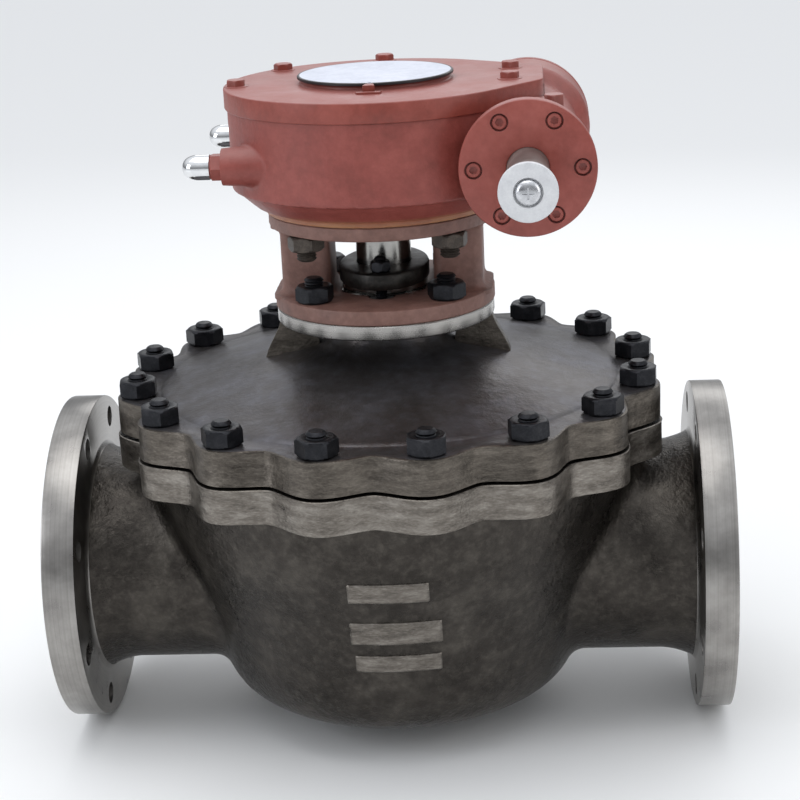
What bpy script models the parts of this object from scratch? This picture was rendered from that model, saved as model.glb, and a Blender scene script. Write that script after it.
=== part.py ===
"""Top-entry ball valve with a quarter-turn worm gearbox, NPS 8 Class 150 ends.

Metres, +Z up. The pipe runs along X and the stem along Z. The origin is on the
floor under the stem, in the middle of the foot pad. The worm shaft points to -Y.
"""
from math import asin, atan2, cos, degrees, pi, radians, sin, sqrt, tan

import bmesh
import bpy
import numpy as np
from mathutils import Matrix, Vector

# Fits and small clearances shared by every pair of pieces that touch.
FIT = 0.0003
HOLE_CLEARANCE = 0.0006

# Pipe ends.
FACE_TO_FACE = 0.696
PIPE_AXIS_HEIGHT = 0.175
FLANGE_OD = 0.343
FLANGE_THICKNESS = 0.0358
RAISED_FACE_OD = FLANGE_OD - 0.073
RAISED_FACE_HEIGHT = 0.002
FLANGE_BOLT_CIRCLE = FLANGE_OD - 0.0445
FLANGE_BOLT_COUNT = 8
FLANGE_BOLT_HOLE = 0.0224
FLANGE_HUB_OD = 0.238
FLANGE_HUB_LENGTH = 0.020
NECK_OD = 0.220
PORT_BORE = 0.152
END_BORE = 0.200
END_BORE_TAPER_LENGTH = 0.110

# Bowl of the body, measured from the pipe axis.
BOWL_WAIST_RADIUS = 0.219
BOWL_BASE_RADIUS = 0.190
BOWL_BASE_HEIGHT = -0.100
BOWL_BOTTOM_HEIGHT = -0.154
BOWL_WALL = 0.018
FOOT_PAD_RADIUS = 0.062

# Bolted joint between the body and the bonnet.
JOINT_HEIGHT = 0.155
BODY_FLANGE_THICKNESS = 0.035
BONNET_FLANGE_THICKNESS = 0.0355
BONNET_LOBE_RADIUS = 0.2825
BONNET_VALLEY_RADIUS = BONNET_LOBE_RADIUS - 0.0215
BONNET_BOLT_CIRCLE_RADIUS = BONNET_LOBE_RADIUS - 0.0225
BOWL_TOP_RADIUS = BONNET_LOBE_RADIUS - 0.0285
BODY_MOUTH_RADIUS = BOWL_TOP_RADIUS - 0.028
BONNET_STUD_COUNT = 16
BONNET_STUD_DIAMETER = 0.020
BONNET_STUD_DEPTH = 0.027
BONNET_NUT_WIDTH = 0.036
BONNET_NUT_HEIGHT = 0.018
BODY_LOBE_MARGIN = 0.002
GASKET_THICKNESS = 0.002
GASKET_WIDTH = 0.018
SPIGOT_DEPTH = 0.006

# Bonnet above the joint.
BONNET_RISE = 0.034
BONNET_WALL = 0.024
BONNET_NECK_RADIUS = 0.060
TOP_FLANGE_RADIUS = 0.1115
TOP_FLANGE_THICKNESS = 0.015
TOP_FLANGE_ABOVE_CROWN = 0.0484
RIB_THICKNESS = 0.018
RIB_FOOT_RADIUS = 0.128
RIB_HEAD_RADIUS = 0.106
RIB_INNER_RADIUS = 0.080
STUFFING_BOX_OD = 0.096
STUFFING_BOX_RISE = 0.0155

# Ball, seats and stem.
BALL_RADIUS = 0.118
BALL_HUB_RADIUS = 0.046
BALL_HUB_HEIGHT = 0.122
TRUNNION_RADIUS = 0.025
TRUNNION_BOTTOM = -0.160
TRUNNION_BUSH_WALL = 0.005
TRUNNION_BOSS_RADIUS = 0.046
TRUNNION_BOSS_TOP = -0.126
SEAT_RING_OD = 0.196
SEAT_RING_BACK = 0.117
SEAT_RING_RELIEF = 0.0012
SEAT_POCKET_FLOOR = 0.122
SEAT_BOSS_RADIUS = 0.112
SEAT_BOSS_FACE = 0.090
SEAT_INSERT_INNER = 0.083
SEAT_INSERT_OUTER = 0.091
SEAT_INSERT_DEPTH = 0.005
STEM_RADIUS = 0.028
STEM_COLLAR_RADIUS = 0.037
STEM_COLLAR_THICKNESS = 0.013
STEM_BUSH_WALL = 0.005
STEM_TANG_LENGTH = 0.052
STEM_TANG_WIDTH = 0.024
STEM_TANG_DEPTH = 0.020
PACKING_WALL = 0.0097
PACKING_RINGS = 4
PACKING_RING_HEIGHT = 0.0075
STEM_KEY_WIDTH = 0.014
STEM_KEY_HEIGHT = 0.009
STEM_KEY_LENGTH = 0.060

# Gland.
GLAND_COLLAR_RADIUS = 0.044
GLAND_COLLAR_THICKNESS = 0.008
GLAND_INSERT_LENGTH = 0.0206
GLAND_FLANGE_HALF_WIDTH = 0.046
GLAND_FLANGE_HALF_LENGTH = 0.068
GLAND_FLANGE_THICKNESS = 0.017
GLAND_STUD_OFFSET = 0.052
GLAND_STUD_DIAMETER = 0.012
GLAND_NUT_WIDTH = 0.019
GLAND_NUT_HEIGHT = 0.011

# Bracket between the bonnet and the gearbox.
BRACKET_BASE_THICKNESS = 0.0155
BRACKET_RADIUS = 0.1125
BRACKET_WINDOW_HEIGHT = 0.069
BRACKET_TOP_THICKNESS = 0.014
BRACKET_TOP_RADIUS = 0.115
BRACKET_TOP_HOLE_RADIUS = 0.046
COLUMN_INNER = 0.052
COLUMN_OUTER = 0.102
COLUMN_HALF_DEPTH = 0.038
COLUMN_ROUNDING = 0.010
BASE_STUD_OFFSET = 0.066
BASE_STUD_DIAMETER = 0.020
BASE_NUT_WIDTH = 0.034
BASE_NUT_HEIGHT = 0.017
HEAD_STUD_OFFSET = 0.071
HEAD_STUD_DIAMETER = 0.020
HEAD_NUT_WIDTH = 0.032
HEAD_NUT_HEIGHT = 0.015

# Gearbox.
GEARCASE_RADIUS = 0.150
GEARCASE_WALL = 0.016
GEARCASE_FLOOR = 0.018
GEARCASE_BASE_RADIUS = 0.118
GEARCASE_BASE_STEP = 0.006
GEARCASE_CHAMFER_HEIGHT = 0.028
GEARCASE_HEIGHT = 0.106
CASE_STUD_DEPTH = 0.014
GEARCASE_CORNER_X = 0.138
GEARCASE_CORNER_RADIUS = 0.027
GEARCASE_CORNER_FRONT = -0.024
GEARCASE_CORNER_BACK = 0.050
COVER_THICKNESS = 0.020
COVER_OVERHANG = 0.002
COVER_HUB_RECESS = 0.011
COVER_BOLT_HEAD = 0.017
COVER_BOLT_HEAD_HEIGHT = 0.007
HUB_RADIUS = 0.056
HUB_JOURNAL_RADIUS = 0.047
SLEEVE_RADIUS = 0.0365
SLEEVE_KEY_WIDTH = 0.012
SLEEVE_KEY_HEIGHT = 0.004
INDICATOR_RADIUS = 0.078
INDICATOR_THICKNESS = 0.003
INDICATOR_SPINDLE_RADIUS = 0.012
INDICATOR_BOSS_HEIGHT = 0.0045
INDICATOR_BOSS_RADIUS = 0.074

# Worm gear: axial module, wheel teeth on the full circle, one-start worm.
WORM_MODULE = 0.005
WHEEL_TEETH = 50
WORM_PITCH_RADIUS = 0.025
WHEEL_FACE_WIDTH = 0.021
PRESSURE_ANGLE = radians(20.0)
ROOT_CLEARANCE = 0.0012
FLANK_CLEARANCE = 0.0006
WORM_THREAD_LENGTH = 0.050
SECTOR_STOP_FACE = 0.035
WHEEL_LEVEL_IN_CASE = 0.0595

# Worm shaft, its bearings and covers.
SHAFT_RADIUS = 0.020
SHAFT_FRONT_END = -0.256
SHAFT_REAR_END = 0.100
WORM_CHAMBER_RADIUS = 0.034
WORM_TUBE_RADIUS = 0.052
WORM_FLANGE_RADIUS = 0.065
WORM_FLANGE_LENGTH = 0.012
WORM_TUBE_FRONT = -0.140
WORM_TUBE_REAR = 0.128
REAR_DRUM_LENGTH = 0.060
WORM_COVER_THICKNESS = 0.010
WORM_COVER_SCREWS = 6
WORM_COVER_SCREW_CIRCLE = 0.051
WORM_COVER_COUNTERBORE = 0.0085
WORM_BUSH_LENGTH = 0.030
END_WASHER_RADIUS = 0.027
END_WASHER_THICKNESS = 0.006
END_SCREW_HEAD_RADIUS = 0.012
END_SCREW_RADIUS = 0.006
END_SCREW_LENGTH = 0.026

# Travel stops and grease plug.
STOP_SCREW_OFFSET = 0.088
STOP_SCREW_RADIUS = 0.008
STOP_BOSS_RADIUS = 0.018
STOP_BOSS_FACE = -0.146
STOP_LOCK_NUT_WIDTH = 0.024
STOP_LOCK_NUT_LENGTH = 0.011
STOP_CAP_RADIUS = 0.0125
STOP_CAP_LENGTH = 0.028
PLUG_WIDTH = 0.018
PLUG_X_OFFSET = 0.026
PLUG_Y = -0.094

# How many flats a turned piece has; pieces that fit together share a count.
ROUND = 24
FINE_ROUND = 32
SMALL_ROUND = 8
WELD_DISTANCE = 0.00002

# Heights above the floor that several pieces share.
PIPE_Z = PIPE_AXIS_HEIGHT
JOINT_Z = PIPE_Z + JOINT_HEIGHT
BONNET_BOTTOM_Z = JOINT_Z + GASKET_THICKNESS + 2 * FIT
BONNET_RIM_Z = BONNET_BOTTOM_Z + BONNET_FLANGE_THICKNESS
BONNET_CROWN_Z = BONNET_RIM_Z + BONNET_RISE
TOP_FLANGE_Z = BONNET_CROWN_Z + TOP_FLANGE_ABOVE_CROWN
STUFFING_TOP_Z = TOP_FLANGE_Z + STUFFING_BOX_RISE
STEM_SHOULDER_Z = BONNET_CROWN_Z - BONNET_WALL
PACKING_TOP_Z = STUFFING_TOP_Z - GLAND_INSERT_LENGTH
BUSH_TOP_Z = PACKING_TOP_Z - PACKING_RINGS * PACKING_RING_HEIGHT - FIT
GLAND_FLANGE_Z = STUFFING_TOP_Z + 3 * FIT + GLAND_COLLAR_THICKNESS
BRACKET_Z = TOP_FLANGE_Z + FIT
WINDOW_Z = BRACKET_Z + BRACKET_BASE_THICKNESS
BRACKET_HEAD_Z = WINDOW_Z + BRACKET_WINDOW_HEIGHT
CASE_Z = BRACKET_HEAD_Z + BRACKET_TOP_THICKNESS + FIT
COVER_Z = CASE_Z + GEARCASE_HEIGHT + FIT
COVER_TOP_Z = COVER_Z + COVER_THICKNESS
WORM_Z = CASE_Z + WHEEL_LEVEL_IN_CASE
INDICATOR_Z = COVER_TOP_Z + INDICATOR_BOSS_HEIGHT + FIT

# Worm gear sizes that follow from the module.
AXIAL_PITCH = pi * WORM_MODULE
WHEEL_PITCH_RADIUS = WHEEL_TEETH * WORM_MODULE / 2
CENTRE_DISTANCE = WHEEL_PITCH_RADIUS + WORM_PITCH_RADIUS
WORM_TIP_RADIUS = WORM_PITCH_RADIUS + WORM_MODULE
WORM_ROOT_RADIUS = WORM_PITCH_RADIUS - WORM_MODULE - ROOT_CLEARANCE


def clear_scene():
    for obj in list(bpy.data.objects):
        bpy.data.objects.remove(obj, do_unlink=True)


def material(name, hex_colour, metallic, roughness):
    """A Principled material; the colour is given in sRGB and stored linear."""
    found = bpy.data.materials.get(name)
    if found:
        return found
    made = bpy.data.materials.new(name)
    made.use_nodes = True
    srgb = [int(hex_colour[i:i + 2], 16) / 255 for i in (0, 2, 4)]
    linear = [c / 12.92 if c <= 0.04045 else ((c + 0.055) / 1.055) ** 2.4 for c in srgb]
    shader = made.node_tree.nodes["Principled BSDF"]
    shader.inputs["Base Color"].default_value = (*linear, 1)
    shader.inputs["Metallic"].default_value = metallic
    shader.inputs["Roughness"].default_value = roughness
    return made


def cast_steel():
    return material("oiled_cast_steel", "4A443E", 0.7, 0.45)


def bonnet_steel():
    return material("oiled_cast_steel_bonnet", "4C4C50", 0.7, 0.4)


def black_bolting():
    return material("black_oxide_bolting", "26272A", 0.6, 0.45)


def bright_steel():
    return material("machined_steel", "B9B9B8", 0.95, 0.3)


def primer_brown():
    return material("brown_primer", "8C6A60", 0.0, 0.6)


def primer_red():
    return material("red_oxide_primer", "9C5450", 0.0, 0.55)


def seal_white():
    return material("ptfe", "E8E6DF", 0.0, 0.5)


def bronze():
    return material("bearing_bronze", "B08D57", 0.9, 0.35)


def graphite():
    return material("graphite_packing", "3A3A3C", 0.2, 0.6)


def enamel_white():
    return material("white_enamel_plate", "E4E4EA", 0.0, 0.35)


def bright_plate():
    return material("bright_nickel", "D8D8D8", 1.0, 0.15)


def make_object(name, mesh, finish):
    mesh.shade_smooth()
    mesh.set_sharp_from_angle(angle=radians(35))
    obj = bpy.data.objects.new(name, mesh)
    bpy.context.scene.collection.objects.link(obj)
    if finish is None:
        obj.hide_render = True
        obj.display_type = "WIRE"
    elif not mesh.materials:
        mesh.materials.append(finish)
    return obj


def mesh_from(name, points, faces):
    """A closed mesh with its faces turned outwards."""
    bm = bmesh.new()
    verts = [bm.verts.new(p) for p in points]
    for face in faces:
        bm.faces.new([verts[i] for i in face])
    bmesh.ops.recalc_face_normals(bm, faces=bm.faces)
    mesh = bpy.data.meshes.new(name)
    bm.to_mesh(mesh)
    bm.free()
    return mesh


def turned_mesh(name, profile, segments=ROUND):
    """Turn a profile of (radius, height) about Z; off-axis profiles close into a ring."""
    points = []
    rows = []
    for radius, height in profile:
        if radius < 1e-7:
            rows.append([len(points)] * segments)
            points.append((0, 0, height))
            continue
        rows.append([len(points) + k for k in range(segments)])
        for k in range(segments):
            turn = 2 * pi * k / segments
            points.append((radius * cos(turn), radius * sin(turn), height))
    pairs = list(zip(rows, rows[1:]))
    if profile[0][0] > 1e-7:
        pairs.append((rows[-1], rows[0]))
    faces = []
    for low, high in pairs:
        for k in range(segments):
            n = (k + 1) % segments
            ring = [low[k], low[n], high[n], high[k]]
            face = [v for i, v in enumerate(ring) if v not in ring[:i]]
            if len(face) > 2:
                faces.append(face)
    return mesh_from(name, points, faces)


def turned(name, profile, finish, segments=ROUND):
    return make_object(name, turned_mesh(name, profile, segments), finish)


def tube_profile(inner, outer, low, high):
    return [(outer, high), (outer, low), (inner, low), (inner, high)]


def rod_profile(radius, low, high):
    return [(0, low), (radius, low), (radius, high), (0, high)]


def place(obj, x=0.0, y=0.0, z=0.0, axis="Z"):
    """Put a piece at a point, with its own +Z along the named axis."""
    turns = {"Z": (0, 0, 0), "X": (0, pi / 2, 0), "-X": (0, -pi / 2, 0),
             "Y": (-pi / 2, 0, 0), "-Y": (pi / 2, 0, 0), "-Z": (pi, 0, 0)}
    obj.location = (x, y, z)
    obj.rotation_euler = turns[axis]
    return obj


def prism_mesh(name, outline, low, high):
    """Extrude a closed outline of (x, y) points from one height to another."""
    count = len(outline)
    points = [(x, y, low) for x, y in outline] + [(x, y, high) for x, y in outline]
    faces = [list(range(count)), list(range(count, 2 * count))]
    for k in range(count):
        n = (k + 1) % count
        faces.append([k, n, count + n, count + k])
    return mesh_from(name, points, faces)


def prism(name, outline, low, high, finish):
    return make_object(name, prism_mesh(name, outline, low, high), finish)


def box(name, size, centre, finish):
    half_x, half_y = size[0] / 2, size[1] / 2
    outline = [(half_x, half_y), (-half_x, half_y), (-half_x, -half_y), (half_x, -half_y)]
    obj = prism(name, outline, -size[2] / 2, size[2] / 2, finish)
    obj.location = centre
    return obj


def merged(name, parts, finish=None):
    """Join several (mesh, matrix) parts into one object, for cutters and fused repeats."""
    bm = bmesh.new()
    for mesh, matrix in parts:
        first = len(bm.verts)
        bm.from_mesh(mesh)
        bm.verts.ensure_lookup_table()
        bmesh.ops.transform(bm, matrix=matrix, verts=bm.verts[first:])
    mesh = bpy.data.meshes.new(name)
    bm.to_mesh(mesh)
    bm.free()
    return make_object(name, mesh, finish)


def rods_at(name, radius, low, high, centres, axis="Z", segments=SMALL_ROUND):
    """One cutter of equal rods whose flats clear the radius, measured from their centres."""
    turn = {"Z": Matrix.Identity(4), "X": Matrix.Rotation(pi / 2, 4, "Y"),
            "Y": Matrix.Rotation(-pi / 2, 4, "X")}[axis]
    rod = turned_mesh(name + "_rod", rod_profile(radius / cos(pi / segments), low, high), segments)
    return merged(name, [(rod, Matrix.Translation(c) @ turn) for c in centres])


def boolean(obj, other, operation):
    step = obj.modifiers.new(operation.lower() + "_" + other.name, "BOOLEAN")
    step.operation = operation
    step.solver = "EXACT"
    step.object = other
    return obj


def cut(obj, *cutters):
    for cutter in cutters:
        boolean(obj, cutter, "DIFFERENCE")
    return obj


def fuse(obj, *others):
    for other in others:
        boolean(obj, other, "UNION")
    return obj


def weld(obj):
    """Close the hairline edges that successive cuts leave behind."""
    step = obj.modifiers.new("weld", "WELD")
    step.merge_threshold = WELD_DISTANCE
    return obj


def stack_mesh(name, sections, sides=6):
    """Loft coaxial sections; each is (height, radius) or (height, width, 'hex')."""
    points = []
    for section in sections:
        for k in range(sides):
            turn = 2 * pi * k / sides
            radius = section[1]
            if len(section) == 3:
                off_flat = (degrees(turn) + 30) % 60 - 30
                radius = section[1] / 2 / cos(radians(30 - abs(off_flat)))
            points.append((radius * cos(turn), radius * sin(turn), section[0]))
    faces = [list(range(sides)), list(range(len(points) - sides, len(points)))]
    for row in range(len(sections) - 1):
        for k in range(sides):
            n = (k + 1) % sides
            low, high = row * sides, (row + 1) * sides
            faces.append([low + k, low + n, high + n, high + k])
    return mesh_from(name, points, faces)


def stud_and_nut_mesh(name, stud_radius, nut_width, low, seat, nut_height, end):
    """A stud from low to end, with its nut resting on seat."""
    return stack_mesh(name, [
        (low, stud_radius), (seat, stud_radius), (seat, nut_width, "hex"),
        (seat + nut_height, nut_width, "hex"), (seat + nut_height, stud_radius), (end, stud_radius)])


def ring_of(count, radius, height, first=0.0):
    step = 2 * pi / count
    return [(radius * cos(first + k * step), radius * sin(first + k * step), height)
            for k in range(count)]


def lobed_outline(lobe, valley, count, per_lobe=6):
    """A scalloped flange: one round lobe over each stud and a hollow between them."""
    total = count * per_lobe
    outline = []
    for k in range(total):
        turn = 2 * pi * k / total
        swell = (0.5 - 0.5 * cos(count * turn)) ** 0.8
        radius = valley + (lobe - valley) * swell
        outline.append((radius * cos(turn), radius * sin(turn)))
    return outline


def hull_outline(circles, segments=FINE_ROUND):
    """The tight convex outline round a few circles given as (x, y, radius)."""
    points = []
    for x, y, radius in circles:
        for k in range(segments):
            turn = 2 * pi * k / segments
            points.append((x + radius * cos(turn), y + radius * sin(turn)))
    points.sort()
    hull = []
    for way in (points, points[::-1]):
        chain = []
        for p in way:
            while len(chain) > 1:
                (ax, ay), (bx, by) = chain[-2], chain[-1]
                if (bx - ax) * (p[1] - ay) - (by - ay) * (p[0] - ax) > 1e-9:
                    break
                chain.pop()
            chain.append(p)
        hull += chain[:-1]
    return hull


def gearcase_outline(margin=0.0):
    corner = GEARCASE_CORNER_RADIUS + margin
    return hull_outline([(0, 0, GEARCASE_RADIUS + margin),
                         (GEARCASE_CORNER_X, GEARCASE_CORNER_FRONT, corner),
                         (GEARCASE_CORNER_X, GEARCASE_CORNER_BACK, corner)])


def smooth_profile(knots, steps=4):
    """Points along a Catmull-Rom curve through (radius, height) knots."""
    points = []
    count = len(knots)
    for i in range(count - 1):
        p0, p1 = knots[max(i - 1, 0)], knots[i]
        p2, p3 = knots[i + 1], knots[min(i + 2, count - 1)]
        for s in range(steps):
            t = s / steps
            point = [0.5 * (2 * b + (c - a) * t + (2 * a - 5 * b + 4 * c - d) * t * t
                            + (3 * b - a - 3 * c + d) * t ** 3)
                     for a, b, c, d in zip(p0, p1, p2, p3)]
            points.append(tuple(point))
    points.append(tuple(knots[-1]))
    return points


def bowl_profile(inset, steps):
    """Half section of the bowl from the axis up to the mouth, offset inwards by a wall."""
    top = JOINT_HEIGHT - BODY_FLANGE_THICKNESS + 0.004
    base, bottom = BOWL_BASE_HEIGHT, BOWL_BOTTOM_HEIGHT
    knots = [(0, bottom + inset),
             (0.40 * BOWL_BASE_RADIUS, bottom + 0.03 * (base - bottom) + inset),
             (0.70 * BOWL_BASE_RADIUS - 0.4 * inset, bottom + 0.20 * (base - bottom) + inset),
             (0.90 * BOWL_BASE_RADIUS - 0.8 * inset, bottom + 0.50 * (base - bottom) + 0.6 * inset),
             (BOWL_BASE_RADIUS - inset, base),
             (0.5 * (BOWL_BASE_RADIUS + BOWL_WAIST_RADIUS) - inset, 0.5 * base),
             (BOWL_WAIST_RADIUS - inset, 0),
             (0.36 * BOWL_WAIST_RADIUS + 0.64 * BOWL_TOP_RADIUS - inset, 0.5 * top),
             (BOWL_TOP_RADIUS - inset, top)]
    return smooth_profile(knots, steps)


def make_body():
    """Bowl, pipe spool and scalloped flange, cored out round the ball and its seats."""
    bowl = bowl_profile(0.0, 1)
    body = turned("body", bowl + [(0, bowl[-1][1])], cast_steel(), FINE_ROUND)
    place(body, z=PIPE_Z)

    half = FACE_TO_FACE / 2
    flange = FLANGE_OD / 2
    back = half - FLANGE_THICKNESS
    right = [(NECK_OD / 2, back - FLANGE_HUB_LENGTH - 0.02), (FLANGE_HUB_OD / 2, back - 0.006),
             (FLANGE_HUB_OD / 2 + 0.004, back), (flange, back), (flange, half - RAISED_FACE_HEIGHT),
             (RAISED_FACE_OD / 2, half - RAISED_FACE_HEIGHT), (RAISED_FACE_OD / 2, half), (0, half)]
    left = [(radius, -x) for radius, x in reversed(right)]
    spool = place(turned("pipe_spool", left + right, None, FINE_ROUND), z=PIPE_Z, axis="X")

    rim = prism("body_rim", lobed_outline(BONNET_LOBE_RADIUS + BODY_LOBE_MARGIN,
                                          BONNET_VALLEY_RADIUS + BODY_LOBE_MARGIN,
                                          BONNET_STUD_COUNT),
                JOINT_Z - BODY_FLANGE_THICKNESS, JOINT_Z, None)
    foot = turned("foot", rod_profile(FOOT_PAD_RADIUS, 0, PIPE_Z + BOWL_BOTTOM_HEIGHT + 0.008), None)

    inner = bowl_profile(BOWL_WALL, 1)
    mouth = [p for p in inner if p[0] < BODY_MOUTH_RADIUS and p[1] < JOINT_HEIGHT - 0.05]
    mouth += [(BODY_MOUTH_RADIUS, JOINT_HEIGHT - 0.045), (BODY_MOUTH_RADIUS, JOINT_HEIGHT + 0.002),
              (0, JOINT_HEIGHT + 0.002)]
    core = place(turned("body_core", mouth, None, FINE_ROUND), z=PIPE_Z)
    boss_end = BODY_MOUTH_RADIUS + BOWL_WALL
    bosses = [(turned_mesh("seat_boss", rod_profile(SEAT_BOSS_RADIUS, SEAT_BOSS_FACE, boss_end)),
               Matrix.Translation((0, 0, PIPE_Z)) @ Matrix.Rotation(side * pi / 2, 4, "Y"))
              for side in (1, -1)]
    trunnion_boss = turned_mesh("trunnion_boss", rod_profile(
        TRUNNION_BOSS_RADIUS, BOWL_BOTTOM_HEIGHT, TRUNNION_BOSS_TOP))
    bosses.append((trunnion_boss, Matrix.Translation((0, 0, PIPE_Z))))
    cut(core, merged("inner_bosses", bosses))

    taper = half - END_BORE_TAPER_LENGTH
    pocket = SEAT_RING_OD / 2 + FIT
    side = [(pocket, SEAT_POCKET_FLOOR), (PORT_BORE / 2, SEAT_POCKET_FLOOR), (PORT_BORE / 2, taper),
            (END_BORE / 2, half), (END_BORE / 2, half + 0.002), (0, half + 0.002)]
    bore_profile = [(radius, -x) for radius, x in reversed(side)] + side
    bore = place(turned("flow_bore", bore_profile, None, FINE_ROUND), z=PIPE_Z, axis="X")

    bush_outer = TRUNNION_RADIUS + FIT + TRUNNION_BUSH_WALL + FIT
    pit = turned("trunnion_pit", rod_profile(bush_outer, PIPE_Z + TRUNNION_BOTTOM - 0.003,
                                             PIPE_Z + TRUNNION_BOSS_TOP + 0.002), None)
    studs = rods_at("body_stud_holes", BONNET_STUD_DIAMETER / 2 + FIT,
                    JOINT_Z - BONNET_STUD_DEPTH - FIT, JOINT_Z + 0.002, bonnet_stud_centres())
    holes = []
    for x in (-half - 0.002, back - 0.002):
        for _, y, z in flange_hole_centres():
            holes.append((x, y, z))
    bolt_holes = rods_at("pipe_bolt_holes", FLANGE_BOLT_HOLE / 2, 0,
                         FLANGE_THICKNESS + 0.004, holes, "X")
    cut(spool, bolt_holes)
    fuse(body, spool, rim, foot)
    cut(body, core, bore, pit, studs)
    return weld(body)


def bonnet_stud_centres():
    return ring_of(BONNET_STUD_COUNT, BONNET_BOLT_CIRCLE_RADIUS, 0.0, pi / BONNET_STUD_COUNT)


def flange_hole_centres():
    """Bolt holes of a pipe flange, straddling its vertical centreline."""
    circle = ring_of(FLANGE_BOLT_COUNT, FLANGE_BOLT_CIRCLE / 2, 0.0, pi / FLANGE_BOLT_COUNT)
    return [(0.0, y, PIPE_Z + z) for y, z, _ in circle]


def make_bonnet():
    """Dished cover with its stuffing box, gusseted top flange and locating spigot."""
    spigot = BODY_MOUTH_RADIUS - FIT
    rim_inner = 0.905 * BONNET_VALLEY_RADIUS
    neck = BONNET_NECK_RADIUS
    flange_low = TOP_FLANGE_Z - TOP_FLANGE_THICKNESS
    outer = [(0, BONNET_BOTTOM_Z - SPIGOT_DEPTH - GASKET_THICKNESS),
             (spigot, BONNET_BOTTOM_Z - SPIGOT_DEPTH - GASKET_THICKNESS),
             (spigot, BONNET_RIM_Z - 0.002), (rim_inner, BONNET_RIM_Z - 0.002),
             (rim_inner, BONNET_RIM_Z + 0.001)]
    outer += smooth_profile([(rim_inner - 0.004, BONNET_RIM_Z + 0.003),
                             (0.5 * (rim_inner + neck), BONNET_RIM_Z + 0.62 * BONNET_RISE),
                             (neck + 0.020, BONNET_CROWN_Z),
                             (neck + 0.004, BONNET_CROWN_Z + 0.008),
                             (neck, flange_low)], 2)
    outer += [(TOP_FLANGE_RADIUS, flange_low), (TOP_FLANGE_RADIUS, TOP_FLANGE_Z),
              (STUFFING_BOX_OD / 2, TOP_FLANGE_Z), (STUFFING_BOX_OD / 2, STUFFING_TOP_Z),
              (0, STUFFING_TOP_Z)]
    bonnet = turned("bonnet", outer, bonnet_steel(), FINE_ROUND)

    rim = prism("bonnet_rim", lobed_outline(BONNET_LOBE_RADIUS, BONNET_VALLEY_RADIUS,
                                            BONNET_STUD_COUNT), BONNET_BOTTOM_Z, BONNET_RIM_Z, None)
    rib_low = BONNET_RIM_Z + 0.25 * BONNET_RISE
    rib_outline = [(RIB_FOOT_RADIUS, rib_low), (RIB_FOOT_RADIUS, BONNET_CROWN_Z - 0.004),
                   (RIB_HEAD_RADIUS, flange_low + 0.004), (RIB_INNER_RADIUS, flange_low + 0.004),
                   (RIB_INNER_RADIUS - 0.004, BONNET_CROWN_Z + 0.004), (RIB_INNER_RADIUS - 0.010, rib_low)]
    rib = prism_mesh("bonnet_rib", rib_outline, -RIB_THICKNESS / 2, RIB_THICKNESS / 2)
    upright = Matrix.Rotation(pi / 2, 4, "X")
    ribs = merged("bonnet_ribs", [(rib, Matrix.Rotation(turn, 4, "Z") @ upright) for turn in (0, pi)])
    ear = turned_mesh("gland_ear", rod_profile(GLAND_STUD_DIAMETER / 2 + 0.007,
                                               flange_low + 0.004, STUFFING_TOP_Z - 0.001), SMALL_ROUND)
    ears = merged("gland_ears", [(ear, Matrix.Translation((0, y, 0)))
                                 for y in (GLAND_STUD_OFFSET, -GLAND_STUD_OFFSET)])

    bush = STEM_RADIUS + 2 * FIT + STEM_BUSH_WALL
    packing = STEM_RADIUS + 2 * FIT + PACKING_WALL
    hollow = [(0, JOINT_Z - 0.02), (spigot - 0.012, JOINT_Z - 0.02),
              (spigot - 0.012, BONNET_RIM_Z - 0.8 * BONNET_WALL),
              (0.5 * (spigot + neck), BONNET_RIM_Z + 0.62 * BONNET_RISE - BONNET_WALL),
              (neck + 0.012, STEM_SHOULDER_Z), (bush, STEM_SHOULDER_Z), (bush, BUSH_TOP_Z),
              (packing, BUSH_TOP_Z), (packing, STUFFING_TOP_Z + 0.002), (0, STUFFING_TOP_Z + 0.002)]
    core = turned("bonnet_core", hollow, None, ROUND)
    studs = rods_at("bonnet_stud_holes", BONNET_STUD_DIAMETER / 2 + HOLE_CLEARANCE,
                    BONNET_BOTTOM_Z - 0.002, BONNET_RIM_Z + 0.002, bonnet_stud_centres())
    base_studs = rods_at("bracket_stud_holes", BASE_STUD_DIAMETER / 2 + FIT,
                         flange_low - 0.002, TOP_FLANGE_Z + 0.002, corner_centres(BASE_STUD_OFFSET))
    gland_studs = rods_at("gland_stud_holes", GLAND_STUD_DIAMETER / 2 + FIT,
                          flange_low + 0.008, STUFFING_TOP_Z + 0.002,
                          [(0, GLAND_STUD_OFFSET, 0), (0, -GLAND_STUD_OFFSET, 0)])
    cut(rim, studs)
    fuse(bonnet, rim, ribs, ears)
    cut(bonnet, base_studs, gland_studs, core)
    return weld(bonnet)


def corner_centres(offset):
    return [(x, y, 0.0) for x in (-offset, offset) for y in (-offset, offset)]


def make_joint_pieces():
    """Gasket between body and bonnet, and the ring of studs with their nuts."""
    outer = BONNET_BOLT_CIRCLE_RADIUS - BONNET_STUD_DIAMETER / 2 - 0.003
    gasket = turned("bonnet_gasket", tube_profile(outer - GASKET_WIDTH, outer, JOINT_Z + FIT,
                                                  JOINT_Z + FIT + GASKET_THICKNESS), graphite())
    seat = BONNET_RIM_Z + FIT
    end = seat + BONNET_NUT_HEIGHT + 0.006
    mesh = stud_and_nut_mesh("bonnet_stud", BONNET_STUD_DIAMETER / 2, BONNET_NUT_WIDTH,
                             JOINT_Z - BONNET_STUD_DEPTH, seat, BONNET_NUT_HEIGHT, end)
    for number, (x, y, _) in enumerate(bonnet_stud_centres(), 1):
        stud = make_object(f"bonnet_stud_{number:02d}", mesh, black_bolting())
        stud.location = (x, y, 0)
        stud.rotation_euler = (0, 0, atan2(y, x) + radians(9 * (number % 5)))
    return gasket


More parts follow.
